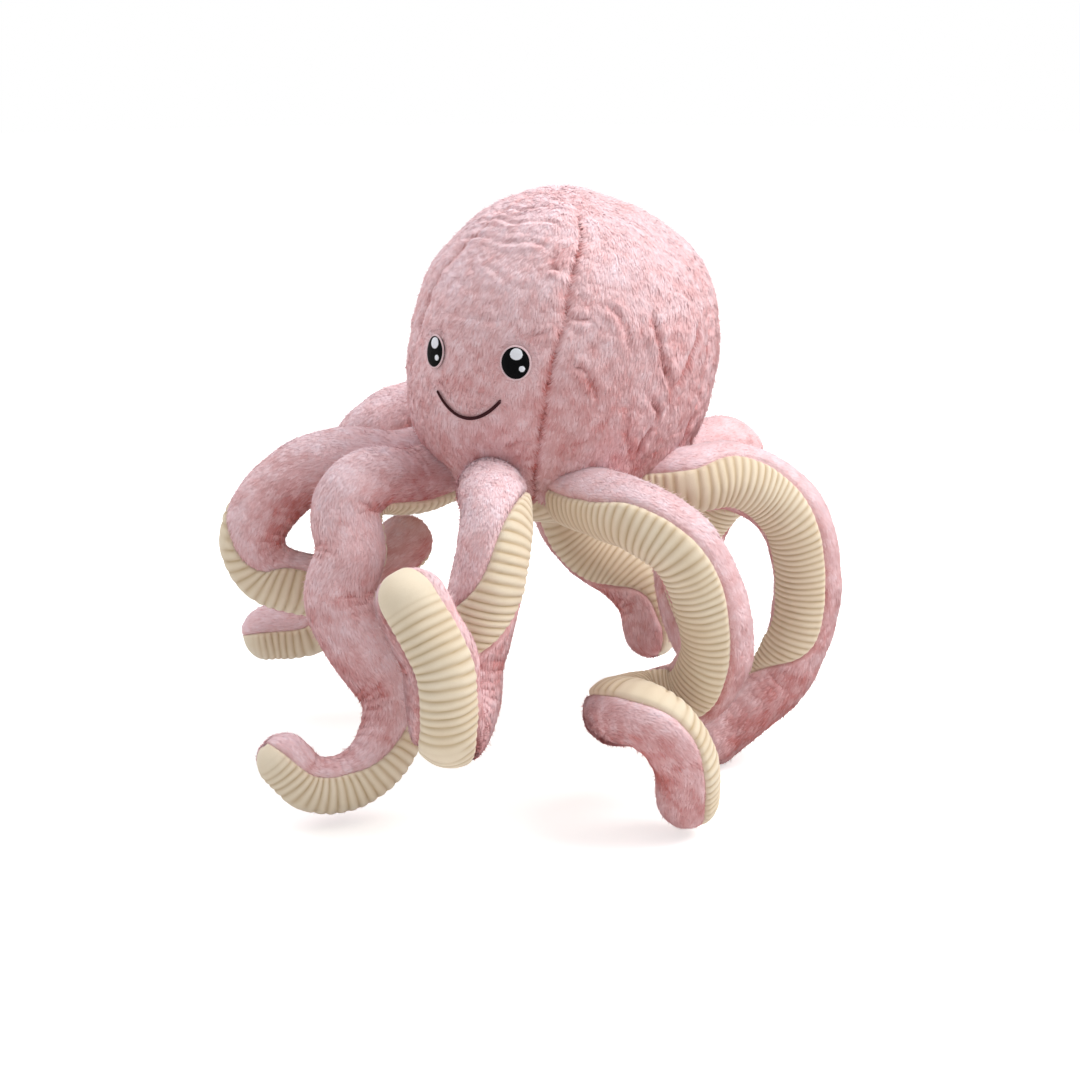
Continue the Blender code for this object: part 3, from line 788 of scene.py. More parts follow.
def foldLines():
    # the folds laid on the head, and the right gore's again on the gores that the picture hides
    lines = []
    for name, (pixels, depth, width) in headFolds.items():
        spots = laidOnHead(pixels)
        lines.append((spots, depth, width))
        if name.startswith(foldForm["repeated"]):
            lines += [(spots @ spinAbout(math.radians(turn)).T, depth * foldForm["repeatDepth"], width)
                      for turn in foldForm["repeatTurns"]]
    return lines


def foldDepth(points, lines):
    # how deep the folds press each point in, and how much painted shade they put on it
    flat = points.reshape(-1, 3)
    deep = np.zeros(len(flat))
    foldShadow = np.zeros(len(flat))
    for spots, depth, width in lines:
        near = np.full(len(flat), 1.0)
        taper = np.zeros(len(flat))
        for index in range(len(spots) - 1):
            start, run = spots[index], spots[index + 1] - spots[index]
            share = np.clip((flat - start) @ run / (run @ run), 0, 1)
            gap = np.linalg.norm(flat - start - share[:, None] * run, axis=1)
            closer = gap < near
            near = np.where(closer, gap, near)
            taper = np.where(closer, (index + share) / (len(spots) - 1), taper)
        ends = ease(taper, *foldForm["taper"]) * ease(1 - taper, *foldForm["taper"])
        core = hill(near, width * foldForm["core"])
        lip = hill(near - width * foldForm["lipAt"], width * foldForm["lipWidth"])
        deep += ends * depth * foldForm["depth"] * (core - foldForm["lipHeight"] * lip)
        foldShadow += ends * core * depth / foldForm["darkest"]
    broken = np.clip(foldForm["evenness"] + cloudAt(points, foldForm["breaks"]), 0, foldForm["most"])
    return deep.reshape(points.shape[:-1]) * broken, foldShadow.reshape(points.shape[:-1]) * broken


face = {
    "eyeWidth": 0.0278,
    "eyeHeight": 0.0302,
    "eyeSide": 0.046,
    "eyeLevel": 0.164,
    "rim": 0.0011,
    "bigGlint": 0.0110,
    "bigGlintAt": (0.001, 0.0075),
    "smallGlint": 0.0054,
    "smallGlintAt": (0.0062, -0.0045),
    "smileSide": -0.003,
    "smileWidth": 0.070,
    "smileDepth": 0.019,
    "smileLevel": 0.130,
    "smileThickness": 0.0027,
    "smileSteps": 60,
}


def facePoint(side, height, lift):
    # a point of the face: side along the skin from the face's middle, height, and how far off the skin
    side, height, lift = np.broadcast_arrays(side, height, lift)
    places = np.interp(height, rowHeights, finePlaces)
    angle = headShape["faceTurn"] + np.degrees(side / outlineAt(places, 0.0)[..., 0])
    return headSkin(places, 0, (angle - goreMiddle(places, 0)) / goreHalf, lift)


def smileAt(share):
    # the smile's line: share runs from -1 at its one end to 1 at the other
    side = face["smileSide"] + share * face["smileWidth"] / 2
    return side, face["smileLevel"] - face["smileDepth"] * (1 - share ** 2)


def faceClearing(points):
    # how far each point is outside the eyes and the smile, and the way that the fur parts there
    angle = np.degrees(np.arctan2(points[..., 0], -points[..., 1])) - headShape["faceTurn"]
    side, height = np.radians(angle) * np.hypot(points[..., 0], points[..., 1]), points[..., 2]
    shapes = []
    for eye in (-1, 1):
        across, up = side - eye * face["eyeSide"], height - face["eyeLevel"]
        reach = np.hypot(across / (face["eyeWidth"] / 2), up / (face["eyeHeight"] / 2))
        shapes.append((across, up, (reach - 1) * face["eyeHeight"] / 2))
    for share in np.linspace(-1, 1, face["smileSteps"]):
        across, up = (value - at for value, at in zip((side, height), smileAt(share)))
        shapes.append((across, up, np.hypot(across, up) - face["smileThickness"] / 2))
    gap = np.full(side.shape, 1.0)
    away = np.zeros((*side.shape, 2))
    for across, up, distance in shapes:
        closer = distance < gap
        gap = np.where(closer, distance, gap)
        away = np.where(closer[..., None], unit(np.stack([across, up], -1)), away)
    over = np.stack([-points[..., 1], points[..., 0], np.zeros_like(side)], -1)
    parting = unit(over) * away[..., :1] + np.array((0, 0, 1.0)) * away[..., 1:]
    return gap, parting


# Darker, rosier places of the head, painted shade beside the seam, at folds, on the cheek and low on the
# right: their middle in pixels, size and strength
headShadePlaces = {
    "aboveSeam": ((562, 250), 0.017, 0.20),
    "betweenEyeAndSmile": ((475, 385), 0.030, 0.10),
    "besideSeam": ((590, 395), 0.028, 0.08),
    "lowRight": ((640, 470), 0.018, 0.10),
    "crownFold": ((575, 300), 0.020, 0.08),
}


def headShadeSpots(points):
    headShade = np.zeros(points.shape[:-1])
    for pixel, size, strength in headShadePlaces.values():
        headShade += strength * hill(np.linalg.norm(points - laidOnHead([pixel])[0], axis=-1), size)
    return headShade


headFur = {
    "rows": 150,
    "columns": 76,
    "crowding": 0.55,  # how much the columns crowd towards the seams
    "skinDepth": 0.005,
    "tuftSeed": 11,
    # noise: how much, in lumps of which size, and its seed
    "lumps": (0.0016, 0.045, 0),
    "matting": (0.0008, 0.0085, 50),
    "ripples": (1, (0.032, 0.032, 0.011), 3),
    "rippleSlant": ((0.8, 0.2, 0.5), (-0.2, 0.9, 0.1), (-0.55, 0.1, 0.8)),
    "rippleEdge": 5,
    "rippleDepth": 0.0007,
    # painted shade: how much darker the ripples' pressed-in grooves are painted
    "rippleShade": 0.12,
    "seamDip": 0.0022,
    "seamWidth": 0.0042,
    "seamPuckers": (0.00198, (0.022, 0.022, 0.0085), 9),
    "puckerWidth": 0.012,
    "seamBreaks": (0.5, 0.012, 31),
    "seamEvenness": 0.9,
    # painted shade along the seams: how much darker, and over what width
    "seamShade": 0.30,
    "seamShadeWidth": 0.0036,
    "crownFade": (topRow - 1.6, topRow - 0.4),
    "shade": 0.50,
    "paintedTopLight": 0.30,  # painted light: how much lighter the fur is painted where it faces up
    "upward": (-0.5, 1.0),
    "sideShade": -0.12,
    "foldShade": 0.40,
    "cloudShades": ((0.10, 0.03, 20), (0.10, 0.0075, 33)),
    "swirls": (137.5, 0.035, 40),
    "closing": 1.4,  # how strongly the tufts of both gores lean over the seam between them
    "closingWidth": 0.005,
    "calm": (0.0, 0.02),  # beside the eyes and the smile: where folds, parting, cover and pile change
    "parting": (-0.009, -0.001),
    "cover": (-0.0004, 0.0012),
    "pile": (0.0, 0.007),
    "leastPile": 0.45,
}


def makeGore(gore, name, lines):
    look = headFur
    rows, columns = look["rows"], look["columns"]
    steps = np.linspace(-1, 1, columns)
    steps = (1 - look["crowding"]) * steps + look["crowding"] * np.sin(steps * math.pi / 2)
    places, across = np.meshgrid(np.linspace(headShape["panelRow"], topRow, rows), steps, indexing="ij")
    points = headSkin(places, gore, across, np.zeros_like(places))
    outward = unit(np.cross(np.gradient(points, axis=1), np.gradient(points, axis=0)))
    if (outward * points)[..., :2].sum() < 0:
        outward = -outward
    seamGap = (1 - np.abs(across)) * math.radians(goreHalf) * np.hypot(points[..., 0], points[..., 1])
    deep, foldShadow = foldDepth(points, lines)
    clearing, parting = faceClearing(points) if gore == 0 else (np.full(places.shape, 1.0), 0)
    calm = ease(clearing, *look["calm"])
    belowCrown = 1 - ease(places, *look["crownFade"])

    # the form: lumps, ripples and folds, and the seams drawn in and puckered
    ripple = 1 - np.abs(cloudAt(points @ np.array(look["rippleSlant"]), look["ripples"], gore))
    ripple = ripple ** look["rippleEdge"]
    drawn = (look["seamEvenness"] + cloudAt(points, look["seamBreaks"])) * belowCrown
    pucker = cloudAt(points, look["seamPuckers"]) * hill(seamGap, look["puckerWidth"])
    move = -furSizes["inset"] - look["seamDip"] * drawn * hill(seamGap, look["seamWidth"])
    move = move + pucker * calm * belowCrown
    lumps = cloudAt(points, look["lumps"], gore) + cloudAt(points, look["matting"], gore)
    move = move + (lumps - look["rippleDepth"] * ripple - deep) * calm
    points = points + outward * move[..., None]

    # the colour's tone: painted light where the fur faces up, painted shade in folds, ripples, along the
    # seams and at the listed places, and random clouds
    shade = look["shade"] + look["sideShade"] + ease(outward[..., 2], *look["upward"]) * look["paintedTopLight"]
    # painted shade: darker in the folds and in the ripples' grooves
    shade = shade - look["foldShade"] * np.clip(foldShadow, 0, 1) * calm - look["rippleShade"] * ripple * calm
    # painted shade: darker along the seams and at the listed places beside the seam, at folds and on the
    # cheek
    shade = shade - look["seamShade"] * drawn * hill(seamGap, look["seamShadeWidth"]) - headShadeSpots(points)
    shade = shade + sum(cloudAt(points, cloud, gore) for cloud in look["cloudShades"])

    # the nap runs down the head in swirls, closes over the seams and parts round the eyes and the smile
    aside = np.gradient(points, axis=1)
    nap = unit(-unit(np.gradient(points, axis=0)) + cloudAt(points, look["swirls"], gore)[..., None] * aside)
    closing = look["closing"] * np.sign(across) * hill(seamGap, look["closingWidth"])
    nap = unit(nap + unit(aside) * closing[..., None])
    near = ease(-clearing, *look["parting"])[..., None]
    nap = unit(nap * (1 - near) + parting * near)
    cover = ease(clearing, *look["cover"])
    pile = look["leastPile"] + (1 - look["leastPile"]) * ease(clearing, *look["pile"])

    # a closed piece: the skin, its edge turned in, and a core inside the head
    ring = gridRim(rows, columns)
    inner = (points - outward * look["skinDepth"]).reshape(-1, 3)[ring]
    core = (0.0, 0.0, headShape["height"] / 2)
    faces = gridFaces(rows, columns, False)
    count, around = rows * columns, len(ring)
    for index in range(around):
        after = (index + 1) % around
        faces.append([ring[index], ring[after], count + after, count + index])
        faces.append([count + index, count + after, count + around])
    piece = newPiece(pieceName(name), (points, inner, core), faces, pinkFur)
    for label, values in (("furCover", cover), ("pile", pile), ("shade", shade)):
        writeAttribute(piece, label, values, np.zeros(around + 1))
    writeAttribute(piece, "nap", nap, np.zeros((around + 1, 3)), 3)
    growFur(piece, look["tuftSeed"] + gore)
    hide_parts(name, *(["head_stuffing"] if gore == 0 else []))
    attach(piece, "head")


lines = foldLines()
goreNames = ("gore_face", "gore_left", "gore_back_left", "gore_back_right", "gore_right")
for gore, nodeName in enumerate(goreNames):
    makeGore(gore, nodeName, lines)
print("head sewn")


armSizes = {
    "length": 0.5,
    "rootRadius": 0.0310,
    "middleRadius": 0.0335,
    "tipRadius": 0.0285,
    "middleShare": 0.35,
    "taperPower": 1.5,
    "tipSwells": {"arm_front": 0.003, "arm_front_right": -0.003},
    "swellFrom": (0.6, 0.9),
    "ring": headShape["radius"] * 0.716,  # the hinges' distance from the head's axis
    "hingeHeight": 0.0420,
    "rootSag": 0.005,  # the stuffed root hangs this much lower than its hinge
    "sagFrom": (-0.14, -0.04),
    "rootDepth": 0.026,  # how far the root runs on inside the head
    "fineSteps": 60,
    "smoothings": 40,
    "bendSmoothings": 4,
    "step": 0.0030,
    "columns": 60,
    "crowding": 9.0,  # degrees by which the columns crowd towards the seams
    "capRows": 10,
    "tuftSeed": 31,
    "panelEdge": 56.0,  # half of the cream panel's width, in degrees round the arm
    "panelSunk": 0.0035,  # how deep the fur's skin lies under the panel
    "tipSunk": 0.0045,
    "closing": (60, 90),  # where the tip sinks, in degrees of its cap
    "seamDip": 0.0012,
    "seamDipAt": 3,
    "seamDipWidth": 4,
    # where each begins and is whole: degrees past the cream panel's edge, and metres for the root
    "panelFrom": (-5, 3),
    "coverFrom": (-4.5, 0.5),
    "pileFrom": (0, 14),
    "creasesFrom": (2, 24),
    "lumpsFrom": (0, 12),
    "rootCover": (-0.012, 0.0),
    "sharpBend": (0.5, 11.0),
    "wrinklePitch": 0.0120,
    "wrinkleDepth": 0.0010,
    "wander": (0.6, 0.025, 60),
    "loose": (0.0005, 0.022, 70),
    "lumps": (0.0016, 0.030, 80),
    "shade": 0.50,
    "paintedTopLight": 0.38,
    "upward": (-0.6, 0.9),
    "sideShade": -0.22,
    "creaseShade": 0.13,
    "wrinkleShade": 0.15,
    "seamShade": 0.10,
    "seamShadeAt": 1,
    "seamShadeWidth": 5,
    "cloudShades": ((0.10, 0.035, 90), (0.12, 0.009, 97)),
    "armShadeBreaks": (0.7, 0.012, 17),
    "swirls": (0.45, 0.03, 95),
    "leastPile": 0.62,
    "blendBack": 0.015,
    "blendAhead": 0.050,
    "blendDrop": 0.45,
}

# Middle line of each arm from its root in shares of its length, and the way that its cream panel faces:
# out from the head, to the side and up
armRoutes = {
    "arm_front": (
        ((0.06, 0.05, 0.015), (-0.1, 0.6, -0.8)), ((0.115, 0.105, 0.005), (-0.2, 0.8, -0.5)),
        ((0.16, 0.14, -0.035), (-0.1, 1, -0.2)), ((0.19, 0.15, -0.1), (0.1, 1, 0)),
        ((0.205, 0.14, -0.17), (0.8, 0.6, 0)), ((0.22, 0.13, -0.245), (0.9, -0.4, 0)),
        ((0.243, 0.14, -0.312), (0.4, -0.9, -0.4)), ((0.3, 0.165, -0.342), (0.2, -0.5, -0.9)),
        ((0.357, 0.195, -0.312), (0.45, 0.45, -0.8)), ((0.38, 0.207, -0.245), (0.6, 0.85, 0)),
        ((0.385, 0.205, -0.19), (0.6, 0.8, 0)), ((0.39, 0.18, -0.14), (0.68, 0.74, 0.15)),
        ((0.39, 0.15, -0.1), (0.75, 0.6, 0.3)),
    ),
    "arm_front_left": (
        ((0.07, 0.04, 0.0), (0.9, -0.15, -0.5)), ((0.14, 0.09, -0.01), (0.9, -0.3, -0.35)),
        ((0.18, 0.15, -0.05), (0.85, -0.45, -0.25)), ((0.18, 0.19, -0.11), (0.8, -0.5, 0)),
        ((0.17, 0.22, -0.19), (0.8, -0.7, 0)), ((0.15, 0.23, -0.27), (0.7, -0.7, 0)),
        ((0.11, 0.2, -0.35), (0.9, -0.4, 0.3)), ((0.09, 0.135, -0.38), (0.6, -0.1, 0.8)),
        ((0.11, 0.085, -0.38), (-0.2, 0, 1)), ((0.16, 0.052, -0.365), (-0.5, 0, 1)),
        ((0.215, 0.055, -0.345), (-0.4, 0, 1)), ((0.255, 0.085, -0.34), (-0.2, 0.1, 1)),
        ((0.265, 0.125, -0.37), (-0.05, 0.6, 0.8)), ((0.25, 0.16, -0.435), (0.1, 0.95, 0.1)),
        ((0.22, 0.17, -0.51), (0.1, 0.95, 0)),
    ),
    "arm_left": (
        ((0.06, 0.03, 0.01), (0.5, -0.8, -0.4)), ((0.1, 0.09, 0.01), (0.6, -0.8, 0)),
        ((0.14, 0.16, -0.03), (0.5, -0.9, 0)), ((0.18, 0.21, -0.1), (0.3, -1, 0)),
        ((0.19, 0.24, -0.21), (0.2, -1, 0)), ((0.18, 0.24, -0.32), (0.1, -1, 0)),
        ((0.15, 0.22, -0.41), (-0.9, -0.3, 0.4)), ((0.11, 0.17, -0.47), (-0.9, 0.4, 0.3)),
        ((0.07, 0.11, -0.52), (-0.8, 0.5, 0.3)),
    ),
    "arm_back_left": (
        ((0.06, 0.03, 0.01), (0, 0, -1)), ((0.115, 0.08, 0.0), (0.2, -0.2, -0.9)),
        ((0.145, 0.14, -0.04), (0.4, -0.6, -0.6)), ((0.14, 0.19, -0.11), (0.4, -0.9, 0)),
        ((0.1, 0.22, -0.19), (-0.1, -1, 0)), ((0.07, 0.21, -0.28), (-0.1, -1, 0)),
        ((0.08, 0.18, -0.37), (0.1, -1, 0.2)), ((0.1, 0.14, -0.43), (0.2, -0.8, 0.5)),
        ((0.13, 0.08, -0.48), (0.3, -0.7, 0.7)),
    ),
    "arm_back": (
        ((0.09, 0.06, 0.01), (0, 0, -1)), ((0.15, 0.13, -0.01), (-0.2, -0.2, -1)),
        ((0.165, 0.21, -0.065), (-0.6, -0.5, -0.6)), ((0.155, 0.265, -0.15), (-0.8, -0.6, 0)),
        ((0.15, 0.265, -0.235), (-0.8, -0.6, 0)), ((0.175, 0.22, -0.305), (-0.8, -0.5, -0.1)),
        ((0.2, 0.155, -0.35), (-0.5, -0.8, 0.2)), ((0.205, 0.1, -0.4), (0.2, -0.9, 0.3)),
        ((0.19, 0.07, -0.46), (0.6, -0.8, 0.2)),
    ),
    "arm_back_right": (
        ((0.1, 0.03, 0.01), (0, 0, -1)), ((0.18, 0.12, 0.01), (0, 0, -1)),
        ((0.2, 0.23, 0.01), (0, 0, -1)), ((0.18, 0.32, -0.02), (-0.2, -0.3, -0.9)),
        ((0.15, 0.37, -0.08), (-0.7, -0.7, 0)), ((0.13, 0.39, -0.17), (-0.8, -0.6, 0)),
        ((0.1, 0.39, -0.25), (-0.8, -0.6, 0)), ((0.07, 0.42, -0.34), (-0.7, -0.6, -0.3)),
        ((0.05, 0.475, -0.395), (-0.8, -0.1, -0.6)), ((0.05, 0.555, -0.405), (-0.8, 0, -0.6)),
    ),
    "arm_right": (
        ((0.06, 0.05, -0.01), (0, 0, -1)), ((0.09, 0.14, -0.02), (0, 0, -1)),
        ((0.14, 0.21, -0.012), (0.1, -0.2, -1)), ((0.19, 0.28, -0.03), (0.3, -0.4, -0.8)),
        ((0.23, 0.33, -0.08), (0.8, -0.6, 0)), ((0.25, 0.36, -0.15), (0.75, 0.6, -0.3)),
        ((0.23, 0.35, -0.21), (0.1, 1, -0.25)), ((0.18, 0.31, -0.24), (-0.6, 0.8, -0.2)),
        ((0.14, 0.24, -0.25), (-0.2, 0.2, -1)), ((0.11, 0.17, -0.23), (0.1, -0.6, -0.8)),
        ((0.09, 0.11, -0.19), (0, -0.9, -0.5)),
    ),
    "arm_front_right": (
        ((0.07, 0.04, -0.01), (0, 0.1, -1)), ((0.15, 0.09, 0.0), (-0.1, -0.2, -1)),
        ((0.198, 0.12, -0.045), (-0.7, -0.6, -0.4)), ((0.193, 0.15, -0.12), (-0.6, -0.8, 0)),
        ((0.217, 0.165, -0.2), (-0.6, -0.8, 0)), ((0.184, 0.19, -0.28), (-0.6, -0.8, 0)),
        ((0.13, 0.22, -0.36), (-1, -0.3, 0)), ((0.13, 0.255, -0.42), (-0.9, 0.3, -0.3)),
        ((0.165, 0.285, -0.475), (-0.5, 0.8, -0.5)), ((0.22, 0.3, -0.505), (0.1, 1, -0.35)),
        ((0.28, 0.305, -0.5), (0.3, 1, -0.2)), ((0.325, 0.305, -0.455), (0.7, 0.8, 0.1)),
    ),
}


def armStations(name):
    # even steps along an arm: middle, along, facing, aside and the way along it, then its hinge and turn
    spin = spinAbout(2 * math.pi * list(armRoutes).index(name) / len(armRoutes))
    route = armRoutes[name]
    spots = [(0.0, 0.0, 0.0)] + [spot for spot, _ in route]
    faces = [route[0][1]] + [way for _, way in route]
    spots = np.array([(side, -out, up) for out, side, up in spots]) * armSizes["length"]
    faces = unit(np.array([(side, -out, up) for out, side, up in faces], float))
    last = len(spots) - 1
    places = np.linspace(0, last, armSizes["fineSteps"] * last + 1)
    line, facing = splineAt(spots, places), splineAt(faces, places)
    for rows in (line, facing):
        smooth(rows, armSizes["smoothings"])  # so that the cloth has no kinks where two stretches meet
    run = np.concatenate([[0], np.cumsum(np.linalg.norm(np.diff(line, axis=0), axis=1))])
    even = np.linspace(0, run[-1], int(run[-1] / armSizes["step"]))
    line, facing = resampled(even, run, line), resampled(even, run, facing)
    line[:, 2] -= armSizes["rootSag"] * ease(-even, *armSizes["sagFrom"])
    along = unit(np.gradient(line, axis=0))
    facing = unit(facing - along * (facing * along).sum(1, keepdims=True))
    hinge = spin @ np.array((0, -armSizes["ring"], 0)) + np.array((0, 0, armSizes["hingeHeight"]))
    aside = np.cross(along, facing)
    line, along, facing, aside = (arrows @ spin.T for arrows in (line, along, facing, aside))
    return line + hinge, along, facing, aside, even, hinge, spin


def armRadius(name, share):
    root, middle, tip = (armSizes[label] for label in ("rootRadius", "middleRadius", "tipRadius"))
    early = root + (middle - root) * share / armSizes["middleShare"]
    rest = np.clip((share - armSizes["middleShare"]) / (1 - armSizes["middleShare"]), 0, 1)
    late = middle + (tip - middle) * rest ** armSizes["taperPower"]
    swell = armSizes["tipSwells"].get(name, 0) * ease(share, *armSizes["swellFrom"])
    return np.where(share < armSizes["middleShare"], early, late) + swell


def armRings(name, stations, capSteps):
    # rings of an arm with its rounded ends: centre, frame, radius, distance along, and how far each is a cap
    line, along, facing, aside, run, _, _ = stations
    radius = armRadius(name, run / run[-1])
    front = np.radians(np.linspace(0, 90, capSteps + 1)[1:-1])
    back = np.radians(np.linspace(90, 0, capSteps // 2 + 1)[1:-1])  # a rounded plug inside the head
    depth = armSizes["rootDepth"]
    centres = np.concatenate([line[0] - along[0] * (np.sin(back) * depth)[:, None], line,
                              line[-1] + along[-1] * (np.sin(front) * radius[-1])[:, None]])
    radii = np.concatenate([radius[0] * np.cos(back), radius, radius[-1] * np.cos(front)])
    distance = np.concatenate([-np.sin(back) * depth, run, run[-1] + front * radius[-1]])
    frames = [arrows[[0] * len(back) + [*range(len(arrows))] + [-1] * len(front)]
              for arrows in (along, facing, aside)]
    poles = (line[0] - along[0] * depth, line[-1] + along[-1] * radius[-1])
    caps = np.concatenate([back * 0, run * 0, front])
    return centres, frames, radii, distance, caps, poles


def armSkin(centres, frames, radius, cap, turns):
    # points round each ring, the ways out from its centre, and the skin's outward ways
    along, facing, aside = frames
    angle = np.radians(turns)
    ways = facing[:, None] * np.cos(angle)[:, None] + aside[:, None] * np.sin(angle)[:, None]
    lying = np.cos(cap)[:, None, None] * ways + np.sin(cap)[:, None, None] * along[:, None]
    return centres[:, None] + ways * radius[:, None, None], ways, lying


def innerBend(along, ways):
    # how sharply an arm bends towards each point of its rings: 0 where it is straight
    curve = np.gradient(along, axis=0) / armSizes["step"]
    smooth(curve, armSizes["bendSmoothings"])
    return (ways * curve[:, None]).sum(-1)


# Darker, rosier places of the arms, painted shade under them and in their bends: their middle and size in
# pixels of the picture, and their strength
armShadePlaces = {
    "arm_front_right": (((418, 478), 32, 0.20), ((380, 645), 26, 0.10), ((396, 708), 38, 0.18),
                        ((385, 735), 20, 0.12)),
    "arm_right": (((290, 494), 30, 0.15), ((270, 470), 26, 0.09), ((407, 540), 45, 0.24)),
    "arm_left": (((775, 689), 30, 0.22), ((736, 724), 25, 0.20)),
    "arm_front_left": (((611, 716), 24, 0.10), ((652, 738), 22, 0.14), ((674, 775), 20, 0.08)),
    "arm_back": (((649, 628), 30, 0.16),),
    "arm_front": (((458, 606), 18, 0.14),),
    "arm_back_left": (((734, 422), 45, 0.08),),
}


# painted shade on the arms: darker at each listed place, broken up by noise
def armShadeAt(name, points):
    armShade = np.zeros(points.shape[:-1])
    for middle, size, strength in armShadePlaces.get(name, ()):
        gap = np.linalg.norm(pixelsOf(points) - np.array(middle), axis=-1)
        armShade += strength * hill(gap, size) * (1 + cloudAt(points, armSizes["armShadeBreaks"]))
    return armShade


def makeArmFur(name, number, stations):
    # the whole arm under its fur: a closed skin, sunk where the cream panel lies on it
    look = armSizes
    centres, frames, radius, run, cap, poles = armRings(name, stations, look["capRows"])
    along, facing, _ = frames
    turns = np.linspace(-180, 180, look["columns"], endpoint=False)
    turns = turns + look["crowding"] * np.sin(np.radians(turns * 2))
    skin, ways, lying = armSkin(centres, frames, radius, cap, turns)
    edge = np.tile(np.abs(turns) - look["panelEdge"], (len(run), 1))
    crease = ease(innerBend(along, ways), *look["sharpBend"]) * ease(edge, *look["creasesFrom"])
    crease = crease * np.cos(cap)[:, None]
    wave = run[:, None] / look["wrinklePitch"] + cloudAt(skin, look["wander"], number)
    fold = (0.5 + 0.5 * np.cos(2 * math.pi * wave)) ** 2
    sunk = furSizes["inset"] + look["panelSunk"] * ease(-edge, *look["panelFrom"])
    sunk = sunk + look["seamDip"] * hill(edge - look["seamDipAt"], look["seamDipWidth"])
    sunk = sunk + crease * fold * look["wrinkleDepth"] - cloudAt(skin, look["loose"], number)
    sunk = sunk - cloudAt(skin, look["lumps"], number) * ease(edge, *look["lumpsFrom"])
    closing = ease(cap, *np.radians(look["closing"]))[:, None]
    points = skin - lying * (sunk * (1 - closing) + look["tipSunk"] * closing)[..., None]
    ends = poles[0] + along[0] * furSizes["inset"], poles[1] - along[-1] * look["tipSunk"]
    piece = newPiece(pieceName(name, "fur"), (points, ends), tubeFaces(len(run), len(turns)), pinkFur)
    cover = ease(edge, *look["coverFrom"]) * ease(run, *look["rootCover"])[:, None]
    # painted light: the fur is lighter where it faces up
    shade = look["shade"] + look["sideShade"] + ease(lying[..., 2], *look["upward"]) * look["paintedTopLight"]
    # painted shade: darker in the inner bends and their wrinkles, and at the listed places
    shade = shade - crease * (look["creaseShade"] + look["wrinkleShade"] * fold) - armShadeAt(name, points)
    # painted shade along the seams beside the cream panel
    shade = shade - look["seamShade"] * hill(edge - look["seamShadeAt"], look["seamShadeWidth"])
    shade = shade + sum(cloudAt(points, cloud, number) for cloud in look["cloudShades"])
    pile = look["leastPile"] + (1 - look["leastPile"]) * ease(edge, *look["pileFrom"])
    nap = np.cos(cap)[:, None, None] * along[:, None] - np.sin(cap)[:, None, None] * ways
    nap = unit(nap + cloudAt(points, look["swirls"], number)[..., None] * np.cross(lying, nap))
    for label, values in (("furCover", cover), ("pile", pile), ("shade", shade)):
        writeAttribute(piece, label, values, (0.0, values[-1].mean()))
    writeAttribute(piece, "nap", nap, (along[0], -facing[-1]), 3)
    return growFur(piece, look["tuftSeed"] + number)


def makeArmCord(name, number, stations):
    # the ribbed cream panel: a closed shell along the arm, its ribs across it
    look = cordSizes
    centres, frames, radius, run, cap, _ = armRings(name, stations, look["capRows"])
    even = np.arange(-look["rootRun"], run[-1] - look["tipShort"], look["Pitch"] / look["rowsInRib"])
    centres, *frames = (resampled(even, run, arrows) for arrows in (centres, *frames))
    radius, cap = np.interp(even, run, radius), np.interp(even, run, cap)
    turns = np.linspace(-1, 1, look["columns"])
    turns = (1 - look["crowding"]) * turns + look["crowding"] * np.sin(turns * math.pi / 2)
    turns = turns * (armSizes["panelEdge"] + look["overlap"])
    skin, ways, lying = armSkin(centres, frames, radius, cap, turns)
    past = np.abs(turns) - armSizes["panelEdge"]
    edge = np.clip((past + look["rolledEdge"] - look["overlap"]) / look["rolledEdge"], 0, 1)
    closing = ease(cap, *np.radians(look["closing"]))[:, None]
    depth = look["stand"] + look["edgeDrop"] * edge ** 2 * (1 - closing) + look["endDrop"] * closing
    depth = depth - cloudAt(skin, look["lumps"], number)
    outer = skin - lying * depth[..., None]
    inner = skin - lying * (np.maximum(depth, look["innerDrop"]) + look["wall"])[..., None]
    rows, columns = len(even), len(turns)
    count = rows * columns
    faces = gridFaces(rows, columns, False)
    faces += [[count + index for index in reversed(each)] for each in faces]
    ring = gridRim(rows, columns)
    for here, after in zip(ring, ring[1:] + ring[:1]):
        faces.append([here, after, count + after, count + here])
    piece = newPiece(pieceName(name, "cord"), (outer, inner), faces, creamCord)
    plain = look["frontPlainEnd"] if name == "arm_front" else look["plainEnd"]
    ends = ease(run[-1] - even, plain, plain + look["fadeLength"])
    pulled = -(np.gradient(frames[0], even, axis=0)[:, None] * ways).sum(-1)
    ribbed = (1 - look["pulledFlat"] * ease(pulled, *look["sharpTurns"])) * ends[:, None]
    ribbed = ribbed * ease(-past, *look["ribsFrom"])
    writeAttribute(piece, "ribbed", ribbed, np.zeros(count))
    writeAttribute(piece, "along", np.tile(np.repeat(even + look["rootRun"], columns), 2))
    return growWith(piece, ribTree, look, creamCord)


def makeArm(name, number):
    stations = armStations(name)
    hinge, spin = stations[-2:]
    outward = spin @ np.array((0, -1.0, 0))
    tilt = unit(outward + np.array((0, 0, -armSizes["blendDrop"])))
    start = hinge - tilt * armSizes["blendBack"]
    end = hinge + tilt * armSizes["blendAhead"]
    for piece, slot, nodes in (
        (makeArmFur(name, number, stations), "pink_fur", (name + "_fur", name + "_stuffing")),
        (makeArmCord(name, number, stations), "cream_cord", (name + "_cord",)),
    ):
        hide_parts(*nodes)
        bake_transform(piece)


for number, name in enumerate(armRoutes):
    makeArm(name, number)
print("arms sewn")

underSizes = {
    "rows": 90,
    "columns": 240,
    "tuck": 0.004,
    "tuckRows": (3.5, 4.0),
    "plainRows": (-3.9, -3.5),
    "ribShift": 0.2,
}


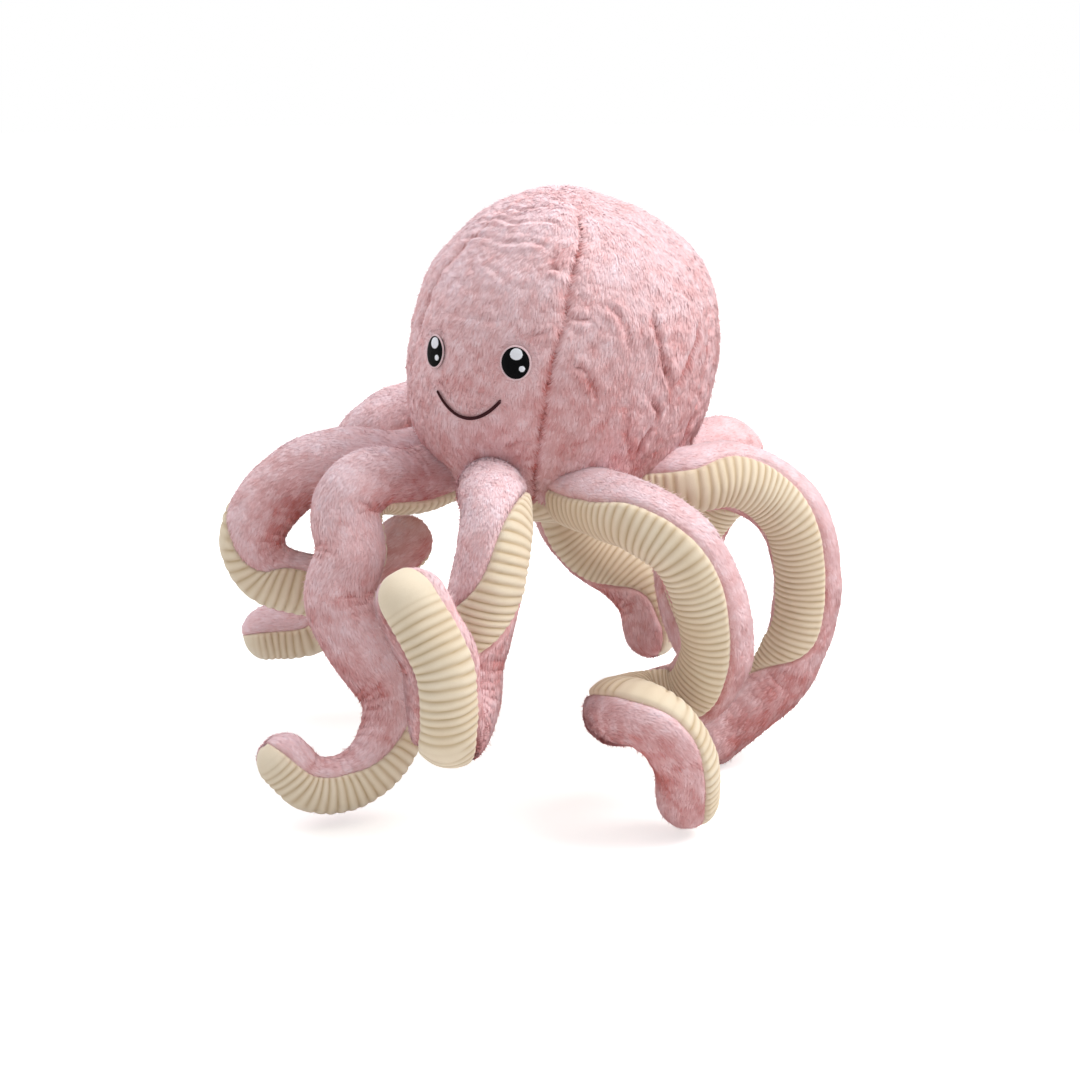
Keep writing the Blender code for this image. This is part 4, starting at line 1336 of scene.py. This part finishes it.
def makeUnderPanel():
    # the ribbed cloth under the body, its ribs all one way
    look = underSizes
    turns = np.linspace(0, 2 * math.pi, look["columns"], endpoint=False)
    places = np.linspace(0, headShape["panelRow"], look["rows"] + 1)[1:]
    spots = outlineAt(places, -look["tuck"] * ease(places, *look["tuckRows"]))
    points = np.stack([spots[:, :1] * np.sin(turns), -spots[:, :1] * np.cos(turns),
                       np.tile(spots[:, 1:], (1, look["columns"]))], -1)
    ends = (0, 0, 0), (0, 0, spots[-1, 1] + look["tuck"])
    piece = newPiece("underPanel", (points, ends), tubeFaces(look["rows"], look["columns"]), creamCord)
    ribbed = np.repeat(ease(-places, *look["plainRows"]), look["columns"])
    writeAttribute(piece, "ribbed", ribbed, (1, 0))
    writeAttribute(piece, "along", points[..., 1] + look["ribShift"], (look["ribShift"], look["ribShift"]))
    growWith(piece, ribTree, cordSizes, creamCord)
    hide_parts("under_panel")
    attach(piece, "head")


makeUnderPanel()
print("under panel sewn")


def joined(first, second):
    # one piece of two meshes
    work = bmesh.new()
    for piece in (first, second):
        work.from_mesh(piece.data)
    work.to_mesh(first.data)
    work.free()
    first.data.shade_smooth()
    mesh = second.data
    bpy.data.objects.remove(second)
    bpy.data.meshes.remove(mesh)
    return first


def sewn(name, lines, material, swell):
    # threads along rows of points; swell gives the thread's share of thickness at each of a line's points
    rows, columns = lines.shape[:2]
    edges = [(row * columns + column, row * columns + column + 1)
             for row in range(rows) for column in range(columns - 1)]
    piece = newPiece(name, (lines,), [], material, edges)
    writeAttribute(piece, "swell", np.tile(swell, rows))
    return growWith(piece, threadTree, threadSizes, material)


def makeSatinPatch(name, centre, size, dome, floor, material, slant):
    # a raised ellipse of satin stitches: a closed cushion with threads laid side by side over it
    def domeAt(across, up, lift=None):
        raised = floor + dome * np.sqrt(np.clip(1 - across ** 2 - up ** 2, 0, 1))
        return facePoint(centre[0] + across * size[0] / 2, centre[1] + up * size[1] / 2,
                         raised if lift is None else lift)

    look = threadSizes
    rings, columns = look["patchRings"], look["patchColumns"]
    turns = np.linspace(0, 2 * math.pi, columns, endpoint=False)
    shares = np.sin(np.linspace(0, math.pi / 2, rings + 1)[1:])[:, None]
    across, up = shares * np.cos(turns), shares * np.sin(turns)
    deep = floor - look["patchDepth"]
    middles = [facePoint(*np.array([[centre[0]], [centre[1]], [lift]])) for lift in (floor + dome, deep)]
    base = newPiece(name, (domeAt(across, up), domeAt(across[-1:], up[-1:], deep), *middles),
                    tubeFaces(rings + 1, columns), material)
    level = np.linspace(-look["patchEdge"], look["patchEdge"], int(size[1] / look["pitch"]))[:, None]
    share = np.linspace(-1, 1, look["stitchPoints"])
    across, up = share * np.sqrt(1 - level ** 2), level + share * 0
    tilt = math.radians(slant)
    lines = domeAt(across * math.cos(tilt) - up * math.sin(tilt),
                   across * math.sin(tilt) + up * math.cos(tilt))
    swell = look["leanest"] + (1 - look["leanest"]) * np.sqrt(1 - share ** 2)
    return joined(base, sewn(name + "Threads", lines, material, swell))


def makeEye(name, side):
    look = threadSizes
    centre = (side * face["eyeSide"], face["eyeLevel"])
    inner = (face["eyeWidth"] - 2 * face["rim"], face["eyeHeight"] - 2 * face["rim"])
    black = makeSatinPatch(pieceName(name, "black"), centre, inner, look["eyeDome"], look["eyeFloor"],
                           blackThread, look["eyeSlant"])
    share = np.linspace(0, 1, look["shortPoints"])
    turns = np.linspace(0, 2 * math.pi, look["rimStitches"], endpoint=False)[:, None]
    slanted = turns + look["rimSlant"] * share
    reach = face["rim"] / 2 + face["rim"] * (0.5 - share) * look["rimReach"]
    lines = facePoint(centre[0] + (inner[0] / 2 + reach) * np.cos(slanted),
                      centre[1] + (inner[1] / 2 + reach) * np.sin(slanted),
                      look["low"] + look["rimHeight"] * np.sin(share * math.pi))
    rim = sewn(pieceName(name, "outline"), lines, rimThread, np.ones(len(share)))
    parts = [(black, "_black", "black_thread"), (rim, "_outline", "pale_thread")]
    for label, size, at in (("big_glint", face["bigGlint"], face["bigGlintAt"]),
                            ("small_glint", face["smallGlint"], face["smallGlintAt"])):
        spot = (centre[0] + at[0], centre[1] + at[1])
        glint = makeSatinPatch(pieceName(name, label), spot, (size, size), look["glintDome"],
                               look["eyeFloor"] + look["eyeDome"] * look["glintLift"], whiteThread, 90)
        parts.append((glint, "_" + label, "white_thread"))
    for piece, node, slot in parts:
        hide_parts(name + node)
        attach(piece, "head")


def makeSmile():
    # one line of short slanted stitches
    look = threadSizes
    fine = np.linspace(-1, 1, look["smileSteps"])
    side, height = smileAt(fine)
    run = np.concatenate([[0], np.cumsum(np.hypot(np.diff(side), np.diff(height)))])
    turns = np.linspace(-1, 1, look["smileStitches"])
    at = np.interp((turns + 1) / 2 * run[-1], run, fine)[:, None]
    side, height = smileAt(at)
    slope = 2 * face["smileDepth"] * at / (face["smileWidth"] / 2)
    across = np.stack([-slope, np.ones_like(slope)], -1) / np.sqrt(1 + slope ** 2)[..., None]
    forward = np.stack([across[..., 1], -across[..., 0]], -1)
    taper = 1 - (np.abs(turns) - look["smileEnd"]) * look["smileTaper"]
    taper = np.sqrt(np.clip(taper, look["leastTaper"], 1))[:, None]
    share = np.linspace(0, 1, look["shortPoints"])
    swing = (share - 0.5) * face["smileThickness"] * taper
    move = (across + forward * look["smileSlant"]) * swing[..., None]
    lines = facePoint(side + move[..., 0], height + move[..., 1],
                      look["low"] + look["smileHeight"] * np.sin(share * math.pi) * taper)
    piece = sewn("smileStitches", lines, smileThread, np.ones(len(share)))
    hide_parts("smile")
    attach(piece, "head")


makeEye("eye_left", 1)
makeEye("eye_right", -1)
makeSmile()
print("face stitched")


studio = {
    "world": 0.62,
    "floorRadius": 6.0,
    "floorSides": 96,
    "floorShade": 0.86,
    "floorGlow": 0.52,
    "floorGap": 0.002,
    "target": (0, 0, 0.05),
    "lights": {
        # place, width, power and colour
        "keyLight": ((1.2, 0.62, 1.65), 1.4, 39.0, (1.0, 0.985, 0.97)),
        "fillLight": ((-1.2, -0.3, 1.6), 1.6, 15.0, (0.98, 0.98, 1.0)),
    },
}


def placed(name, data, place, turn):
    made = bpy.data.objects.new(name, data)
    made.location = place
    made.rotation_euler = turn
    bpy.context.scene.collection.objects.link(made)
    return made


def makeStudio():
    scene = bpy.context.scene
    lens = bpy.data.cameras.new("camera")
    lens.lens = camera["lens"]
    lens.sensor_width = camera["sensor"]
    scene.camera = placed("camera", lens, camera["place"], cameraTurn)
    scene.view_settings.view_transform = "Standard"
    for name, (place, width, power, colour) in studio["lights"].items():
        lamp = bpy.data.lights.new(name, "AREA")
        lamp.size = width
        lamp.energy = power
        lamp.color = colour
        sight = Vector(studio["target"]) - Vector(place)
        placed(name, lamp, place, sight.to_track_quat("-Z", "Y").to_euler())
    scene.world = bpy.data.worlds.new("studio")
    scene.world.use_nodes = True
    scene.world.node_tree.nodes.clear()
    wires = Wire(scene.world.node_tree)
    seen = wires.node("ShaderNodeLightPath").out("Is Camera Ray")
    strength = seen * (1.0 - studio["world"]) + studio["world"]
    sky = wires.node("ShaderNodeBackground", inputs={"Color": (1, 1, 1, 1), "Strength": strength})
    wires.node("ShaderNodeOutputWorld", inputs={"Surface": sky})


def makeFloor():
    material, wires = newMaterial("paleFloor")
    cloth = wires.node("ShaderNodeBsdfDiffuse", inputs={"Color": (*[studio["floorShade"]] * 3, 1)})
    glow = wires.node("ShaderNodeEmission", inputs={"Color": (1, 1, 1, 1), "Strength": studio["floorGlow"]})
    both = wires.node("ShaderNodeAddShader", inputs={0: cloth, 1: glow})
    seen = wires.node("ShaderNodeLightPath").out("Is Camera Ray")
    shadeWith(wires, wires.node("ShaderNodeMixShader", inputs={0: seen, 1: cloth, 2: both}))
    turns = np.linspace(0, 2 * math.pi, studio["floorSides"], endpoint=False)
    rim = np.stack([np.cos(turns), np.sin(turns), turns * 0], 1) * studio["floorRadius"]
    rim[:, 2] = cadBox[0][2] - studio["floorGap"]
    floor = newPiece("floor", (rim,), [list(range(len(rim)))], material)


makeStudio()
makeFloor()
print("studio set")
